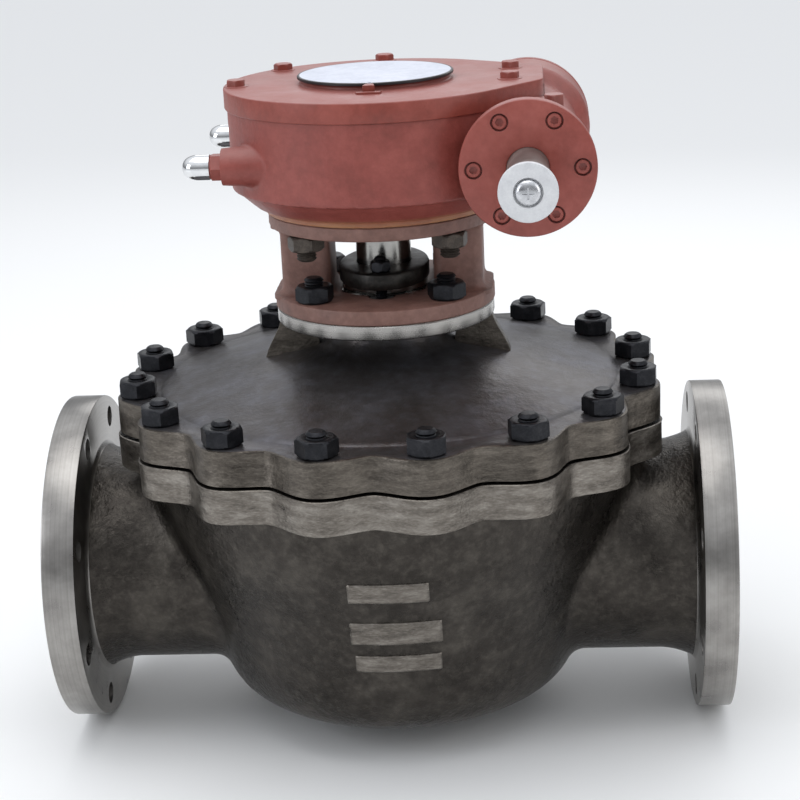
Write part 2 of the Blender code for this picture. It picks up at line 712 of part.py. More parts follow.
def ball_face(radius, gap):
    """How far from the ball's centre a seat face lies along the pipe, at a radius."""
    return sqrt((BALL_RADIUS + gap) ** 2 - radius ** 2)


def make_seats():
    """Spring-loaded seat rings with soft inserts, one on each side of the ball."""
    bore, outer = PORT_BORE / 2, SEAT_RING_OD / 2
    groove_in, groove_out = SEAT_INSERT_INNER, SEAT_INSERT_OUTER
    depth = SEAT_INSERT_DEPTH
    floor = ball_face(groove_out, SEAT_RING_RELIEF) + depth
    ring = [(bore, SEAT_RING_BACK), (bore, ball_face(bore, SEAT_RING_RELIEF)),
            (groove_in, ball_face(groove_in, SEAT_RING_RELIEF)), (groove_in, floor + depth),
            (groove_out, floor + depth), (groove_out, ball_face(groove_out, SEAT_RING_RELIEF)),
            (outer, ball_face(outer, SEAT_RING_RELIEF)), (outer, SEAT_RING_BACK)]
    low, high = groove_in + FIT, groove_out - FIT
    middle = 0.5 * (low + high)
    touch = 2 * FIT
    insert = [(low, floor + depth - FIT), (low, ball_face(low, touch)), (middle, ball_face(middle, touch)),
              (high, ball_face(high, touch)), (high, floor + depth - FIT)]
    spring_low, spring_high = bore + 0.008, outer - 0.004
    spring = tube_profile(spring_low, spring_high, SEAT_RING_BACK + FIT, SEAT_POCKET_FLOOR - FIT)
    ring_mesh = turned_mesh("seat_ring", ring, FINE_ROUND)
    insert_mesh = turned_mesh("seat_insert", insert, FINE_ROUND)
    spring_mesh = turned_mesh("seat_spring", spring)
    for side, axis in (("left", "-X"), ("right", "X")):
        for name, mesh, finish in (("seat_ring", ring_mesh, bright_steel()),
                                   ("seat_insert", insert_mesh, seal_white()),
                                   ("seat_spring", spring_mesh, bright_steel())):
            place(make_object(f"{name}_{side}", mesh, finish), z=PIPE_Z, axis=axis)


def make_ball(axis):
    """Bored ball with its lower trunnion and, on top, a hub slotted for the stem."""
    hub_angle = asin(BALL_HUB_RADIUS / BALL_RADIUS)
    pin_angle = asin(TRUNNION_RADIUS / BALL_RADIUS)
    profile = [(0, TRUNNION_BOTTOM), (TRUNNION_RADIUS - 0.001, TRUNNION_BOTTOM),
               (TRUNNION_RADIUS, TRUNNION_BOTTOM + 0.001)]
    steps = 12
    for k in range(steps + 1):
        angle = pin_angle + (pi - hub_angle - pin_angle) * k / steps
        profile.append((BALL_RADIUS * sin(angle), -BALL_RADIUS * cos(angle)))
    profile += [(BALL_HUB_RADIUS, BALL_HUB_HEIGHT), (0, BALL_HUB_HEIGHT)]
    ball = place(turned("ball", profile, bright_plate()), z=PIPE_Z)
    bore = rods_at("ball_bore", PORT_BORE / 2, -BALL_RADIUS, BALL_RADIUS, [(0, 0, PIPE_Z)], "X", ROUND)
    slot = box("ball_slot", (STEM_TANG_LENGTH + 2 * FIT, STEM_TANG_WIDTH + 2 * FIT,
                             STEM_TANG_DEPTH + 0.004),
               (0, 0, PIPE_Z + BALL_HUB_HEIGHT - STEM_TANG_DEPTH / 2), None)
    cut(ball, bore, slot)
    ball.parent = axis
    bush = turned("trunnion_bush", tube_profile(TRUNNION_RADIUS + FIT,
                                                TRUNNION_RADIUS + FIT + TRUNNION_BUSH_WALL,
                                                PIPE_Z + TRUNNION_BOTTOM,
                                                PIPE_Z + TRUNNION_BOSS_TOP - FIT), bronze())
    return ball, bush


def make_stem(axis):
    """Anti-blowout stem: tang in the ball, collar under the bonnet, key at the top."""
    collar_top = STEM_SHOULDER_Z - FIT
    collar_low = collar_top - STEM_COLLAR_THICKNESS
    ball_top = PIPE_Z + BALL_HUB_HEIGHT + FIT
    top = stem_top()
    profile = [(0, ball_top), (STEM_RADIUS, ball_top), (STEM_RADIUS, collar_low),
               (STEM_COLLAR_RADIUS, collar_low), (STEM_COLLAR_RADIUS, collar_top),
               (STEM_RADIUS, collar_top), (STEM_RADIUS, top - 0.002), (STEM_RADIUS - 0.002, top), (0, top)]
    stem = turned("stem", profile, bright_steel())
    tang = box("stem_tang", (STEM_TANG_LENGTH, STEM_TANG_WIDTH, STEM_TANG_DEPTH + 0.006),
               (0, 0, ball_top - STEM_TANG_DEPTH / 2 + 0.003), None)
    socket = turned("indicator_socket", rod_profile(INDICATOR_SPINDLE_RADIUS + FIT, top - 0.012,
                                                    top + 0.002), None, 24)
    key_z = top - 0.010 - STEM_KEY_LENGTH / 2
    seat = STEM_KEY_HEIGHT / 2
    way = box("stem_keyway", (STEM_KEY_HEIGHT + 2 * FIT, STEM_KEY_WIDTH + 2 * FIT,
                              STEM_KEY_LENGTH + 2 * FIT), (-STEM_RADIUS, 0, key_z), None)
    fuse(stem, tang)
    cut(stem, socket, way)
    key = box("stem_key", (STEM_KEY_HEIGHT, STEM_KEY_WIDTH, STEM_KEY_LENGTH),
              (-STEM_RADIUS, 0, key_z), bright_steel())

    low, high = CASE_Z + FIT, CASE_Z + GEARCASE_HEIGHT - 0.006
    inner = STEM_RADIUS + FIT
    sleeve = turned("drive_sleeve", tube_profile(inner, SLEEVE_RADIUS, low, high), bright_steel())
    slot = box("sleeve_keyway", (2 * seat + 2 * FIT, STEM_KEY_WIDTH + 2 * FIT, high - low + 0.004),
               (-STEM_RADIUS, 0, 0.5 * (low + high)), None)
    spline = box("sleeve_key", (2 * SLEEVE_KEY_HEIGHT, SLEEVE_KEY_WIDTH, 0.7 * (high - low)),
                 (SLEEVE_RADIUS, 0, 0.5 * (low + high)), None)
    fuse(sleeve, spline)
    cut(sleeve, slot)
    for piece in (stem, key, sleeve):
        piece.parent = axis
    return stem


def stem_top():
    return CASE_Z + GEARCASE_HEIGHT - 0.010


def make_gland():
    """Stem bush, chevron packing, gland follower and its oval flange with two studs."""
    inner = STEM_RADIUS + FIT
    turned("stem_bush", tube_profile(inner, inner + STEM_BUSH_WALL, STEM_SHOULDER_Z + FIT,
                                     BUSH_TOP_Z - FIT), bronze())
    outer = inner + PACKING_WALL
    middle = 0.5 * (inner + outer)
    base = BUSH_TOP_Z + FIT
    rise = 0.3 * PACKING_RING_HEIGHT
    top = base + PACKING_RINGS * PACKING_RING_HEIGHT - FIT
    turned("stem_packing", [(inner, base), (middle, base + rise), (outer, base), (outer, top - rise),
                            (middle, top), (inner, top - rise)], graphite())

    low = PACKING_TOP_Z + FIT
    shoulder = STUFFING_TOP_Z + FIT
    collar = shoulder + GLAND_COLLAR_THICKNESS
    gland = [(inner, low), (outer, low), (outer, shoulder), (GLAND_COLLAR_RADIUS, shoulder),
             (GLAND_COLLAR_RADIUS, collar), (inner, collar)]
    turned("gland", gland, bright_steel())

    points = 40
    outline = []
    for k in range(points):
        turn = 2 * pi * k / points
        outline.append((GLAND_FLANGE_HALF_WIDTH * cos(turn), GLAND_FLANGE_HALF_LENGTH * sin(turn)))
    z = GLAND_FLANGE_Z
    flange = prism("gland_flange", outline, z, z + GLAND_FLANGE_THICKNESS, black_bolting())
    eye = turned("gland_flange_eye", rod_profile(inner + FIT, z - 0.002,
                                                 z + GLAND_FLANGE_THICKNESS + 0.002), None)
    ends = [(0, -GLAND_STUD_OFFSET, 0), (0, GLAND_STUD_OFFSET, 0)]
    holes = rods_at("gland_flange_holes", GLAND_STUD_DIAMETER / 2 + HOLE_CLEARANCE, z - 0.002,
                    z + GLAND_FLANGE_THICKNESS + 0.002, ends)
    cut(flange, eye, holes)
    seat = z + GLAND_FLANGE_THICKNESS + FIT
    bottom = TOP_FLANGE_Z - TOP_FLANGE_THICKNESS + 0.010
    mesh = stud_and_nut_mesh("gland_stud", GLAND_STUD_DIAMETER / 2, GLAND_NUT_WIDTH, bottom, seat,
                             GLAND_NUT_HEIGHT, seat + GLAND_NUT_HEIGHT + 0.005)
    for side, (x, y, _) in zip(("front", "back"), ends):
        place(make_object(f"gland_stud_{side}", mesh, black_bolting()), x, y)


def make_bracket():
    """Bracket: two columns between a base flange and a head flange."""
    opening = STUFFING_BOX_OD / 2 + 0.001
    base = turned("bracket", [(opening, BRACKET_Z), (BRACKET_RADIUS, BRACKET_Z),
                              (BRACKET_RADIUS, WINDOW_Z - 0.002), (BRACKET_RADIUS - 0.002, WINDOW_Z),
                              (opening, WINDOW_Z)], primer_brown(), FINE_ROUND)
    head = turned("bracket_head", tube_profile(BRACKET_TOP_HOLE_RADIUS, BRACKET_TOP_RADIUS, BRACKET_HEAD_Z,
                                               BRACKET_HEAD_Z + BRACKET_TOP_THICKNESS), None, FINE_ROUND)
    centre = 0.5 * (COLUMN_INNER + COLUMN_OUTER)
    reach = 0.5 * (COLUMN_OUTER - COLUMN_INNER)
    r = COLUMN_ROUNDING
    corners = [(sx * (reach - r), sy * (COLUMN_HALF_DEPTH - r), r) for sx in (1, -1) for sy in (1, -1)]
    column = prism_mesh("bracket_column", hull_outline(corners, 12), WINDOW_Z - 0.006,
                        BRACKET_HEAD_Z + 0.006)
    columns = merged("bracket_columns", [(column, Matrix.Translation((x, 0, 0)))
                                         for x in (-centre, centre)])
    low, high = BRACKET_Z - 0.002, WINDOW_Z + 0.002
    ear = GLAND_STUD_DIAMETER / 2 + 0.007 + 0.001
    ears = rods_at("bracket_ear_slots", ear, low, high,
                   [(0, GLAND_STUD_OFFSET, 0), (0, -GLAND_STUD_OFFSET, 0)])
    base_holes = rods_at("bracket_base_holes", BASE_STUD_DIAMETER / 2 + HOLE_CLEARANCE, low, high,
                         corner_centres(BASE_STUD_OFFSET))
    head_holes = rods_at("bracket_head_holes", HEAD_STUD_DIAMETER / 2 + HOLE_CLEARANCE,
                         BRACKET_HEAD_Z - 0.002, CASE_Z + 0.002, corner_centres(HEAD_STUD_OFFSET))
    fuse(base, columns, head)
    cut(base, base_holes, head_holes, ears)
    weld(base)

    seat = WINDOW_Z + FIT
    mesh = stud_and_nut_mesh("bracket_stud", BASE_STUD_DIAMETER / 2, BASE_NUT_WIDTH,
                             TOP_FLANGE_Z - TOP_FLANGE_THICKNESS + 0.001, seat, BASE_NUT_HEIGHT,
                             seat + BASE_NUT_HEIGHT + 0.008)
    for number, (x, y, _) in enumerate(corner_centres(BASE_STUD_OFFSET), 1):
        place(make_object(f"bracket_stud_{number}", mesh, black_bolting()), x, y)
    seat = FIT - BRACKET_HEAD_Z
    mesh = stud_and_nut_mesh("gearbox_stud", HEAD_STUD_DIAMETER / 2, HEAD_NUT_WIDTH,
                             -CASE_Z - CASE_STUD_DEPTH, seat, HEAD_NUT_HEIGHT, seat + HEAD_NUT_HEIGHT + 0.011)
    for number, (x, y, _) in enumerate(corner_centres(HEAD_STUD_OFFSET), 1):
        place(make_object(f"gearbox_stud_{number}", mesh, black_bolting()), x, y, axis="-Z")


def make_gear_housing():
    """Gearbox casting: round case, worm tube beside it and bosses for the stops."""
    base = GEARCASE_BASE_RADIUS
    top = CASE_Z + GEARCASE_HEIGHT
    foot_top = CASE_Z + GEARCASE_BASE_STEP
    shoulder = CASE_Z + GEARCASE_CHAMFER_HEIGHT
    housing = turned("gear_housing", [(0, CASE_Z), (base - 0.002, CASE_Z), (base, CASE_Z + 0.002),
                                      (base, foot_top), (base + 0.010, foot_top + 0.002),
                                      (GEARCASE_RADIUS - 0.008, shoulder - 0.006),
                                      (GEARCASE_RADIUS - 0.003, shoulder),
                                      (GEARCASE_RADIUS - 0.003, shoulder + 0.004),
                                      (0, shoulder + 0.004)], primer_red(), FINE_ROUND)
    wall = prism("housing_wall", gearcase_outline(0.0), shoulder - 0.002, top, None)
    drum = WORM_TUBE_REAR - REAR_DRUM_LENGTH
    front = WORM_TUBE_FRONT + WORM_FLANGE_LENGTH
    spool = [(0, WORM_TUBE_FRONT), (WORM_FLANGE_RADIUS, WORM_TUBE_FRONT),
             (WORM_FLANGE_RADIUS, front), (WORM_TUBE_RADIUS, front + 0.004), (WORM_TUBE_RADIUS, drum - 0.012),
             (WORM_FLANGE_RADIUS - 0.003, drum), (WORM_FLANGE_RADIUS, drum + 0.006),
             (WORM_FLANGE_RADIUS, WORM_TUBE_REAR), (0, WORM_TUBE_REAR)]
    tube = place(turned("worm_tube", spool, None), CENTRE_DISTANCE, 0, WORM_Z, "Y")
    inner = GEARCASE_RADIUS - GEARCASE_WALL
    boss_root = sqrt(inner ** 2 - STOP_SCREW_OFFSET ** 2) - 0.006
    boss = turned_mesh("stop_boss", [(0, boss_root), (STOP_BOSS_RADIUS + 0.004, boss_root),
                                     (STOP_BOSS_RADIUS, -STOP_BOSS_FACE), (0, -STOP_BOSS_FACE)], 24)
    turn = Matrix.Rotation(-pi / 2, 4, "Y")
    bosses = merged("stop_bosses", [(boss, Matrix.Translation((0, y, WORM_Z)) @ turn)
                                    for y in (-STOP_SCREW_OFFSET, STOP_SCREW_OFFSET)])

    floor = CASE_Z + GEARCASE_FLOOR
    journal = HUB_JOURNAL_RADIUS + FIT
    hollow = [(0, CASE_Z - 0.002), (journal, CASE_Z - 0.002), (journal, floor), (0.62 * inner, floor),
              (inner, shoulder + 0.006), (inner, top + 0.002), (0, top + 0.002)]
    core = turned("case_core", hollow, None, FINE_ROUND)
    chamber = rods_at("worm_chamber", WORM_CHAMBER_RADIUS, WORM_TUBE_FRONT - 0.002,
                      WORM_TUBE_REAR + 0.002, [(CENTRE_DISTANCE, 0, WORM_Z)], "Y", ROUND)
    lid_space = prism("lid_space", gearcase_outline(COVER_OVERHANG + 0.001), top - 0.0008,
                      WORM_Z + WORM_FLANGE_RADIUS + 0.004, None)
    stops = rods_at("stop_holes", STOP_SCREW_RADIUS + FIT, STOP_BOSS_FACE - 0.002, 0.005 - boss_root,
                    [(0, y, WORM_Z) for y in (-STOP_SCREW_OFFSET, STOP_SCREW_OFFSET)], "X")
    studs = rods_at("case_stud_holes", HEAD_STUD_DIAMETER / 2 + FIT, CASE_Z - 0.002,
                    CASE_Z + CASE_STUD_DEPTH + FIT, corner_centres(HEAD_STUD_OFFSET))
    plug_x = CENTRE_DISTANCE + PLUG_X_OFFSET
    tapped = rods_at("plug_hole", 0.4 * PLUG_WIDTH + FIT, WORM_Z, WORM_Z + WORM_FLANGE_RADIUS,
                     [(plug_x, PLUG_Y, 0)])
    cut(tube, lid_space, tapped)
    cut(housing, studs)
    fuse(housing, wall, tube, bosses)
    cut(housing, core, chamber, stops)

    skin = WORM_Z + sqrt(WORM_TUBE_RADIUS ** 2 - PLUG_X_OFFSET ** 2)
    seat = WORM_Z + sqrt(WORM_TUBE_RADIUS ** 2 - (PLUG_X_OFFSET - 0.6 * PLUG_WIDTH) ** 2) + FIT
    mesh = stack_mesh("grease_plug", [(skin - 0.012, 0.4 * PLUG_WIDTH), (seat, 0.4 * PLUG_WIDTH),
                                      (seat, PLUG_WIDTH, "hex"), (seat + 0.010, PLUG_WIDTH, "hex"),
                                      (seat + 0.011, 0.44 * PLUG_WIDTH)])
    place(make_object("grease_plug", mesh, primer_red()), plug_x, PLUG_Y)
    return housing


def cover_bolt_centres():
    """Cover bolts: three round the back and left, two at the corner over the worm."""
    reach = GEARCASE_RADIUS - 0.011
    round_bolts = [(reach * cos(radians(a)), reach * sin(radians(a)), 0.0) for a in (90, 138, 186)]
    corner = GEARCASE_CORNER_X - 0.004
    return round_bolts + [(corner, GEARCASE_CORNER_BACK, 0.0), (corner, GEARCASE_CORNER_FRONT, 0.0)]


def make_gear_cover(axis):
    """Gearbox lid with its bolts, and the position plate that turns with the stem."""
    cover = prism("gear_cover", gearcase_outline(COVER_OVERHANG), COVER_Z, COVER_TOP_Z, primer_red())
    head = stack_mesh("cover_bolt", [(COVER_TOP_Z - 0.004, COVER_BOLT_HEAD, "hex"),
                                     (COVER_TOP_Z + COVER_BOLT_HEAD_HEIGHT - 0.001, COVER_BOLT_HEAD, "hex"),
                                     (COVER_TOP_Z + COVER_BOLT_HEAD_HEIGHT, 0.45 * COVER_BOLT_HEAD)])
    heads = merged("cover_bolts", [(head, Matrix.Translation(c)) for c in cover_bolt_centres()])
    boss = turned("indicator_boss", rod_profile(INDICATOR_BOSS_RADIUS, COVER_TOP_Z - 0.004,
                                                COVER_TOP_Z + INDICATOR_BOSS_HEIGHT), None)
    pointer = prism("cover_pointer", [(-0.004, -INDICATOR_RADIUS - 0.0015),
                                      (-0.006, -INDICATOR_RADIUS - 0.014),
                                      (0.006, -INDICATOR_RADIUS - 0.014),
                                      (0.004, -INDICATOR_RADIUS - 0.0015)],
                    COVER_TOP_Z - 0.004, INDICATOR_Z + INDICATOR_THICKNESS, None)
    recess = turned("cover_recess", rod_profile(HUB_JOURNAL_RADIUS + FIT, COVER_Z - 0.002,
                                                COVER_Z + COVER_HUB_RECESS), None, FINE_ROUND)
    eye = turned("cover_eye", rod_profile(INDICATOR_SPINDLE_RADIUS + FIT, COVER_Z,
                                          INDICATOR_Z + 0.002), None, 24)
    fuse(cover, boss, heads, pointer)
    cut(cover, recess, eye)
    spindle = INDICATOR_SPINDLE_RADIUS
    plate = [(0, stem_top() - 0.011), (spindle, stem_top() - 0.011), (spindle, INDICATOR_Z),
             (INDICATOR_RADIUS, INDICATOR_Z), (INDICATOR_RADIUS, INDICATOR_Z + INDICATOR_THICKNESS - 0.001),
             (INDICATOR_RADIUS - 0.001, INDICATOR_Z + INDICATOR_THICKNESS),
             (0, INDICATOR_Z + INDICATOR_THICKNESS)]
    indicator = turned("position_indicator", plate, enamel_white())
    indicator.parent = axis
    return cover


def thread_half_width(radius):
    """Half the axial width of the worm thread at a distance from the worm's axis."""
    return AXIAL_PITCH / 4 - (radius - WORM_PITCH_RADIUS) * tan(PRESSURE_ANGLE)


def hobbed_radius(theta, height):
    """Where the rolling worm thread leaves the wheel blank, at an angle and a height.

    The worm is rolled past the wheel in small steps. At each step the thread is
    cut by the plane at this height, and the blank keeps what no step reaches.
    """
    roll = np.linspace(-1.2, 1.2, 241) * AXIAL_PITCH / WHEEL_PITCH_RADIUS
    tip = WORM_TIP_RADIUS + ROOT_CLEARANCE
    blank = CENTRE_DISTANCE - sqrt((WORM_ROOT_RADIUS + ROOT_CLEARANCE) ** 2 - height ** 2)
    blank = min(blank, WHEEL_PITCH_RADIUS + 1.3 * WORM_MODULE)
    radii = np.linspace(WHEEL_PITCH_RADIUS - 1.6 * WORM_MODULE, blank, 160)
    rho, turn = np.meshgrid(radii, theta - roll, indexing="ij")
    reach = CENTRE_DISTANCE - rho * np.cos(turn)
    along = rho * np.sin(turn) + WHEEL_PITCH_RADIUS * roll[None, :]
    thread_radius = np.hypot(reach, height)
    lead = AXIAL_PITCH * np.arctan2(height, reach) / (2 * pi)
    offset = (along - lead + AXIAL_PITCH / 2) % AXIAL_PITCH - AXIAL_PITCH / 2
    half = thread_half_width(thread_radius) + FLANK_CLEARANCE
    inside = (np.abs(offset) <= half) & (thread_radius <= tip)
    reached = inside.any(axis=1)
    return float(radii[np.argmax(reached)]) if reached.any() else float(blank)


def make_worm_wheel(axis):
    """Quadrant of the worm wheel: its teeth are generated by rolling the worm past it."""
    pitch = 2 * pi / WHEEL_TEETH
    fractions = (-0.5, -0.375, -0.26, -0.14, 0.14, 0.26, 0.375)
    stop = SECTOR_STOP_FACE
    tip = WHEEL_PITCH_RADIUS + WORM_MODULE
    first, last = -asin(stop / tip), pi / 2 + asin(stop / tip)
    slices = [WHEEL_FACE_WIDTH * t for t in (-0.5, 0.0, 0.5)]
    tooth = {h: [] for h in slices}
    for h in slices:
        skew = AXIAL_PITCH * asin(h / WORM_PITCH_RADIUS) / (2 * pi) / WHEEL_PITCH_RADIUS
        for u in fractions:
            tooth[h].append((u * pitch + skew, hobbed_radius(u * pitch + skew, h)))
    margin = 0.35 * pitch
    spaces = [n for n in range(-5, 20) if first + margin < n * pitch < last - margin]
    rows = []
    for h in slices:
        outline = [(-stop, -stop), (tip * cos(first), -stop)]
        for n in spaces:
            for angle, radius in tooth[h][1:]:
                outline.append((radius * cos(angle + n * pitch), radius * sin(angle + n * pitch)))
            angle, radius = tooth[h][0]
            if n != spaces[-1]:
                turn = angle + (n + 1) * pitch
                outline.append((radius * cos(turn), radius * sin(turn)))
        outline.append((-stop, tip * sin(last)))
        rows.append([(x, y, h) for x, y in outline])
    count = len(rows[0])
    points = [p for row in rows for p in row]
    faces = [list(range(count)), list(range(len(points) - count, len(points)))]
    for r in range(len(rows) - 1):
        for k in range(count):
            n = (k + 1) % count
            faces.append([r * count + k, r * count + n, (r + 1) * count + n, (r + 1) * count + k])
    sector = make_object("worm_wheel", mesh_from("worm_wheel", points, faces), bronze())
    sector.location = (0, 0, WORM_Z)

    low, high = CASE_Z + FIT, COVER_Z + COVER_HUB_RECESS - FIT
    floor, lid = CASE_Z + GEARCASE_FLOOR + FIT, COVER_Z - FIT
    hub = turned("wheel_hub", [(0, low), (HUB_JOURNAL_RADIUS, low), (HUB_JOURNAL_RADIUS, floor),
                               (HUB_RADIUS, floor), (HUB_RADIUS, lid), (HUB_JOURNAL_RADIUS, lid),
                               (HUB_JOURNAL_RADIUS, high), (0, high)], None)
    bore = turned("wheel_bore", rod_profile(SLEEVE_RADIUS + FIT, low - 0.002, high + 0.002), None)
    keyway = box("wheel_keyway", (2 * SLEEVE_KEY_HEIGHT + 2 * FIT, SLEEVE_KEY_WIDTH + 2 * FIT,
                                  high - low + 0.004), (SLEEVE_RADIUS, 0, 0.5 * (low + high)), None)
    fuse(sector, hub)
    cut(sector, bore, keyway)
    sector.parent = axis
    return sector


def make_worm_shaft(axis):
    """One-start worm cut on its shaft, with the bushes, covers and the end washer."""
    root = WORM_ROOT_RADIUS
    half = WORM_THREAD_LENGTH / 2
    run_out = half + 0.014
    shaft = turned("worm_shaft", [(0, SHAFT_FRONT_END), (SHAFT_RADIUS - 0.001, SHAFT_FRONT_END),
                                  (SHAFT_RADIUS, SHAFT_FRONT_END + 0.001), (SHAFT_RADIUS, -run_out),
                                  (root, -run_out), (root, run_out), (SHAFT_RADIUS, run_out),
                                  (SHAFT_RADIUS, SHAFT_REAR_END), (0, SHAFT_REAR_END)],
                   bright_steel(), 18)
    steps = 11
    turns = WORM_THREAD_LENGTH / AXIAL_PITCH
    total = round(turns * steps)
    buried = root - 0.002
    points = []
    for k in range(total + 1):
        turn = 2 * pi * (k / steps - turns / 2)
        centre = AXIAL_PITCH * turn / (2 * pi)
        for radius, side in ((buried, -1), (WORM_TIP_RADIUS, -1), (WORM_TIP_RADIUS, 1), (buried, 1)):
            along = centre + side * thread_half_width(radius)
            points.append((-radius * cos(turn), along, radius * sin(turn)))
    faces = [[0, 1, 2, 3], [4 * total + i for i in range(4)]]
    for k in range(total):
        for i in range(4):
            n = (i + 1) % 4
            faces.append([4 * k + i, 4 * k + n, 4 * k + 4 + n, 4 * k + 4 + i])
    thread = make_object("worm_thread", mesh_from("worm_thread", points, faces), None)
    thread.location = (CENTRE_DISTANCE, 0, WORM_Z)
    tapped = rods_at("shaft_end_hole", END_SCREW_RADIUS + FIT, SHAFT_FRONT_END - 0.002,
                     SHAFT_FRONT_END + END_SCREW_LENGTH, [(CENTRE_DISTANCE, 0, WORM_Z)], "Y")
    place(shaft, 0, 0, 0, "Y")
    fuse(shaft, thread)
    cut(shaft, tapped)
    shaft.parent = axis

    back = SHAFT_FRONT_END - FIT
    face = back - END_WASHER_THICKNESS
    seat = face + 0.003
    washer = [(END_WASHER_RADIUS, back), (END_WASHER_RADIUS, face + 0.001),
              (END_WASHER_RADIUS - 0.001, face), (END_SCREW_HEAD_RADIUS + 0.0015, face),
              (END_SCREW_HEAD_RADIUS + 0.0005, seat), (END_SCREW_RADIUS + FIT, seat),
              (END_SCREW_RADIUS + FIT, back)]
    end_washer = place(turned("shaft_end_washer", washer, enamel_white()), axis="Y")
    head = END_SCREW_HEAD_RADIUS
    screw = [(0, seat - 0.0065), (0.45 * head, seat - 0.006), (0.85 * head, seat - 0.0045),
             (head, seat - 0.0025), (head, seat - FIT), (END_SCREW_RADIUS, seat - FIT),
             (END_SCREW_RADIUS, SHAFT_FRONT_END + END_SCREW_LENGTH - 0.002),
             (0, SHAFT_FRONT_END + END_SCREW_LENGTH - 0.002)]
    end_screw = place(turned("shaft_end_screw", screw, bright_steel(), 12), axis="Y")
    for piece in (end_washer, end_screw):
        piece.parent = axis
    return shaft


def make_worm_fixed_pieces():
    """Bushes in the worm tube and the bolted covers at its two ends."""
    outer = WORM_CHAMBER_RADIUS - FIT
    bush = turned_mesh("worm_bush", tube_profile(SHAFT_RADIUS + FIT, outer, 0, WORM_BUSH_LENGTH))
    places = (("front", WORM_TUBE_FRONT), ("rear", SHAFT_REAR_END - WORM_BUSH_LENGTH))
    for name, y in places:
        place(make_object(f"worm_bush_{name}", bush, bronze()), CENTRE_DISTANCE, y, WORM_Z, "Y")

    thick = WORM_COVER_THICKNESS
    radius = WORM_FLANGE_RADIUS
    spots = ring_of(WORM_COVER_SCREWS, WORM_COVER_SCREW_CIRCLE, 0.0)
    for name, y, axis in (("front", WORM_TUBE_FRONT - FIT, "-Y"), ("rear", WORM_TUBE_REAR + FIT, "Y")):
        profile = [(0, 0), (radius, 0), (radius, thick - 0.001), (radius - 0.001, thick), (0, thick)]
        cover = place(turned(f"worm_cover_{name}", profile, primer_red()), CENTRE_DISTANCE, y, WORM_Z, axis)
        sinks = rods_at(f"counterbores_{name}", WORM_COVER_COUNTERBORE, thick - 0.005, thick + 0.002, spots)
        place(sinks, CENTRE_DISTANCE, y, WORM_Z, axis)
        cut(cover, sinks)
        if name == "front":
            eye = turned("worm_cover_eye", rod_profile(SHAFT_RADIUS + FIT, -0.002, thick + 0.002), None)
            place(eye, CENTRE_DISTANCE, y, WORM_Z, axis)
            cut(cover, eye)


def make_stops():
    """Travel-stop screws with their lock nuts and domed cap nuts, one for each end."""
    tip = SECTOR_STOP_FACE + FIT
    seat = -STOP_BOSS_FACE + FIT
    nut_end = seat + STOP_LOCK_NUT_LENGTH
    cap = STOP_CAP_RADIUS
    end = nut_end + STOP_CAP_LENGTH
    sections = [(tip, 0.8 * STOP_SCREW_RADIUS), (tip + 0.0015, STOP_SCREW_RADIUS),
                (seat, STOP_SCREW_RADIUS), (seat, STOP_LOCK_NUT_WIDTH, "hex"),
                (nut_end, STOP_LOCK_NUT_WIDTH, "hex"), (nut_end, cap), (end - cap, cap),
                (end - 0.5 * cap, 0.86 * cap), (end - 0.13 * cap, 0.5 * cap), (end, 0.12 * cap)]
    mesh = stack_mesh("stop_screw", sections, 12)
    for side, y in (("closed", -STOP_SCREW_OFFSET), ("open", STOP_SCREW_OFFSET)):
        place(make_object(f"stop_screw_{side}", mesh, bright_plate()), 0, y, WORM_Z, "-X")


def axis_empty(name, location):
    empty = bpy.data.objects.new(name, None)
    bpy.context.scene.collection.objects.link(empty)
    empty.location = location
    return empty


def build():
    clear_scene()
    stem_axis = axis_empty("stem_axis", Vector((0, 0, 0)))
    worm_axis = axis_empty("worm_axis", Vector((CENTRE_DISTANCE, 0, WORM_Z)))
    make_body()
    make_bonnet()
    make_joint_pieces()
    make_seats()
    make_ball(stem_axis)
    make_stem(stem_axis)
    make_gland()
    make_bracket()
    make_gear_housing()
    make_gear_cover(stem_axis)
    make_worm_wheel(stem_axis)
    make_worm_shaft(worm_axis)
    make_worm_fixed_pieces()
    make_stops()


build()
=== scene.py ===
"""Looks of a top-entry ball valve with a worm gearbox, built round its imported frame."""
from math import acos, cos, hypot, pi, radians, sin, sqrt

import bmesh
import bpy
import numpy as np
from mathutils import Matrix, Vector, noise


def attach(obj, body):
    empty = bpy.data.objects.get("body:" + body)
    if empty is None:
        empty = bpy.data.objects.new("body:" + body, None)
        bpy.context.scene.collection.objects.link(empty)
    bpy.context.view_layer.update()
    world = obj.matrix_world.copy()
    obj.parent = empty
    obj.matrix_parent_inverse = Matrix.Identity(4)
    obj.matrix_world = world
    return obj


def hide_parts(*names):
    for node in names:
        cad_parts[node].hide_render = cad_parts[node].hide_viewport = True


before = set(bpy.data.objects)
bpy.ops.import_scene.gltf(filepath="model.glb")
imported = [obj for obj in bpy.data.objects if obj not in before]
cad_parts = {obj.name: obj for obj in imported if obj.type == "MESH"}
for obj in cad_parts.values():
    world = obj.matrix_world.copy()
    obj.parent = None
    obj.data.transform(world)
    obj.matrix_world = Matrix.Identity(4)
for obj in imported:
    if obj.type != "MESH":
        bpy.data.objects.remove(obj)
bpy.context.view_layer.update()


# Body casting. The bowl is one thick sand casting in carbon steel, oiled after
# machining, with a scalloped flange on top and a small pad under it to stand on.
pipe_z = 0.175
joint_z = 0.33
seated = 0.0003
lobe_count = 16
body_valley = 0.263
body_lobe = 0.0215
bowl_wall = 0.018
mouth_radius = 0.226


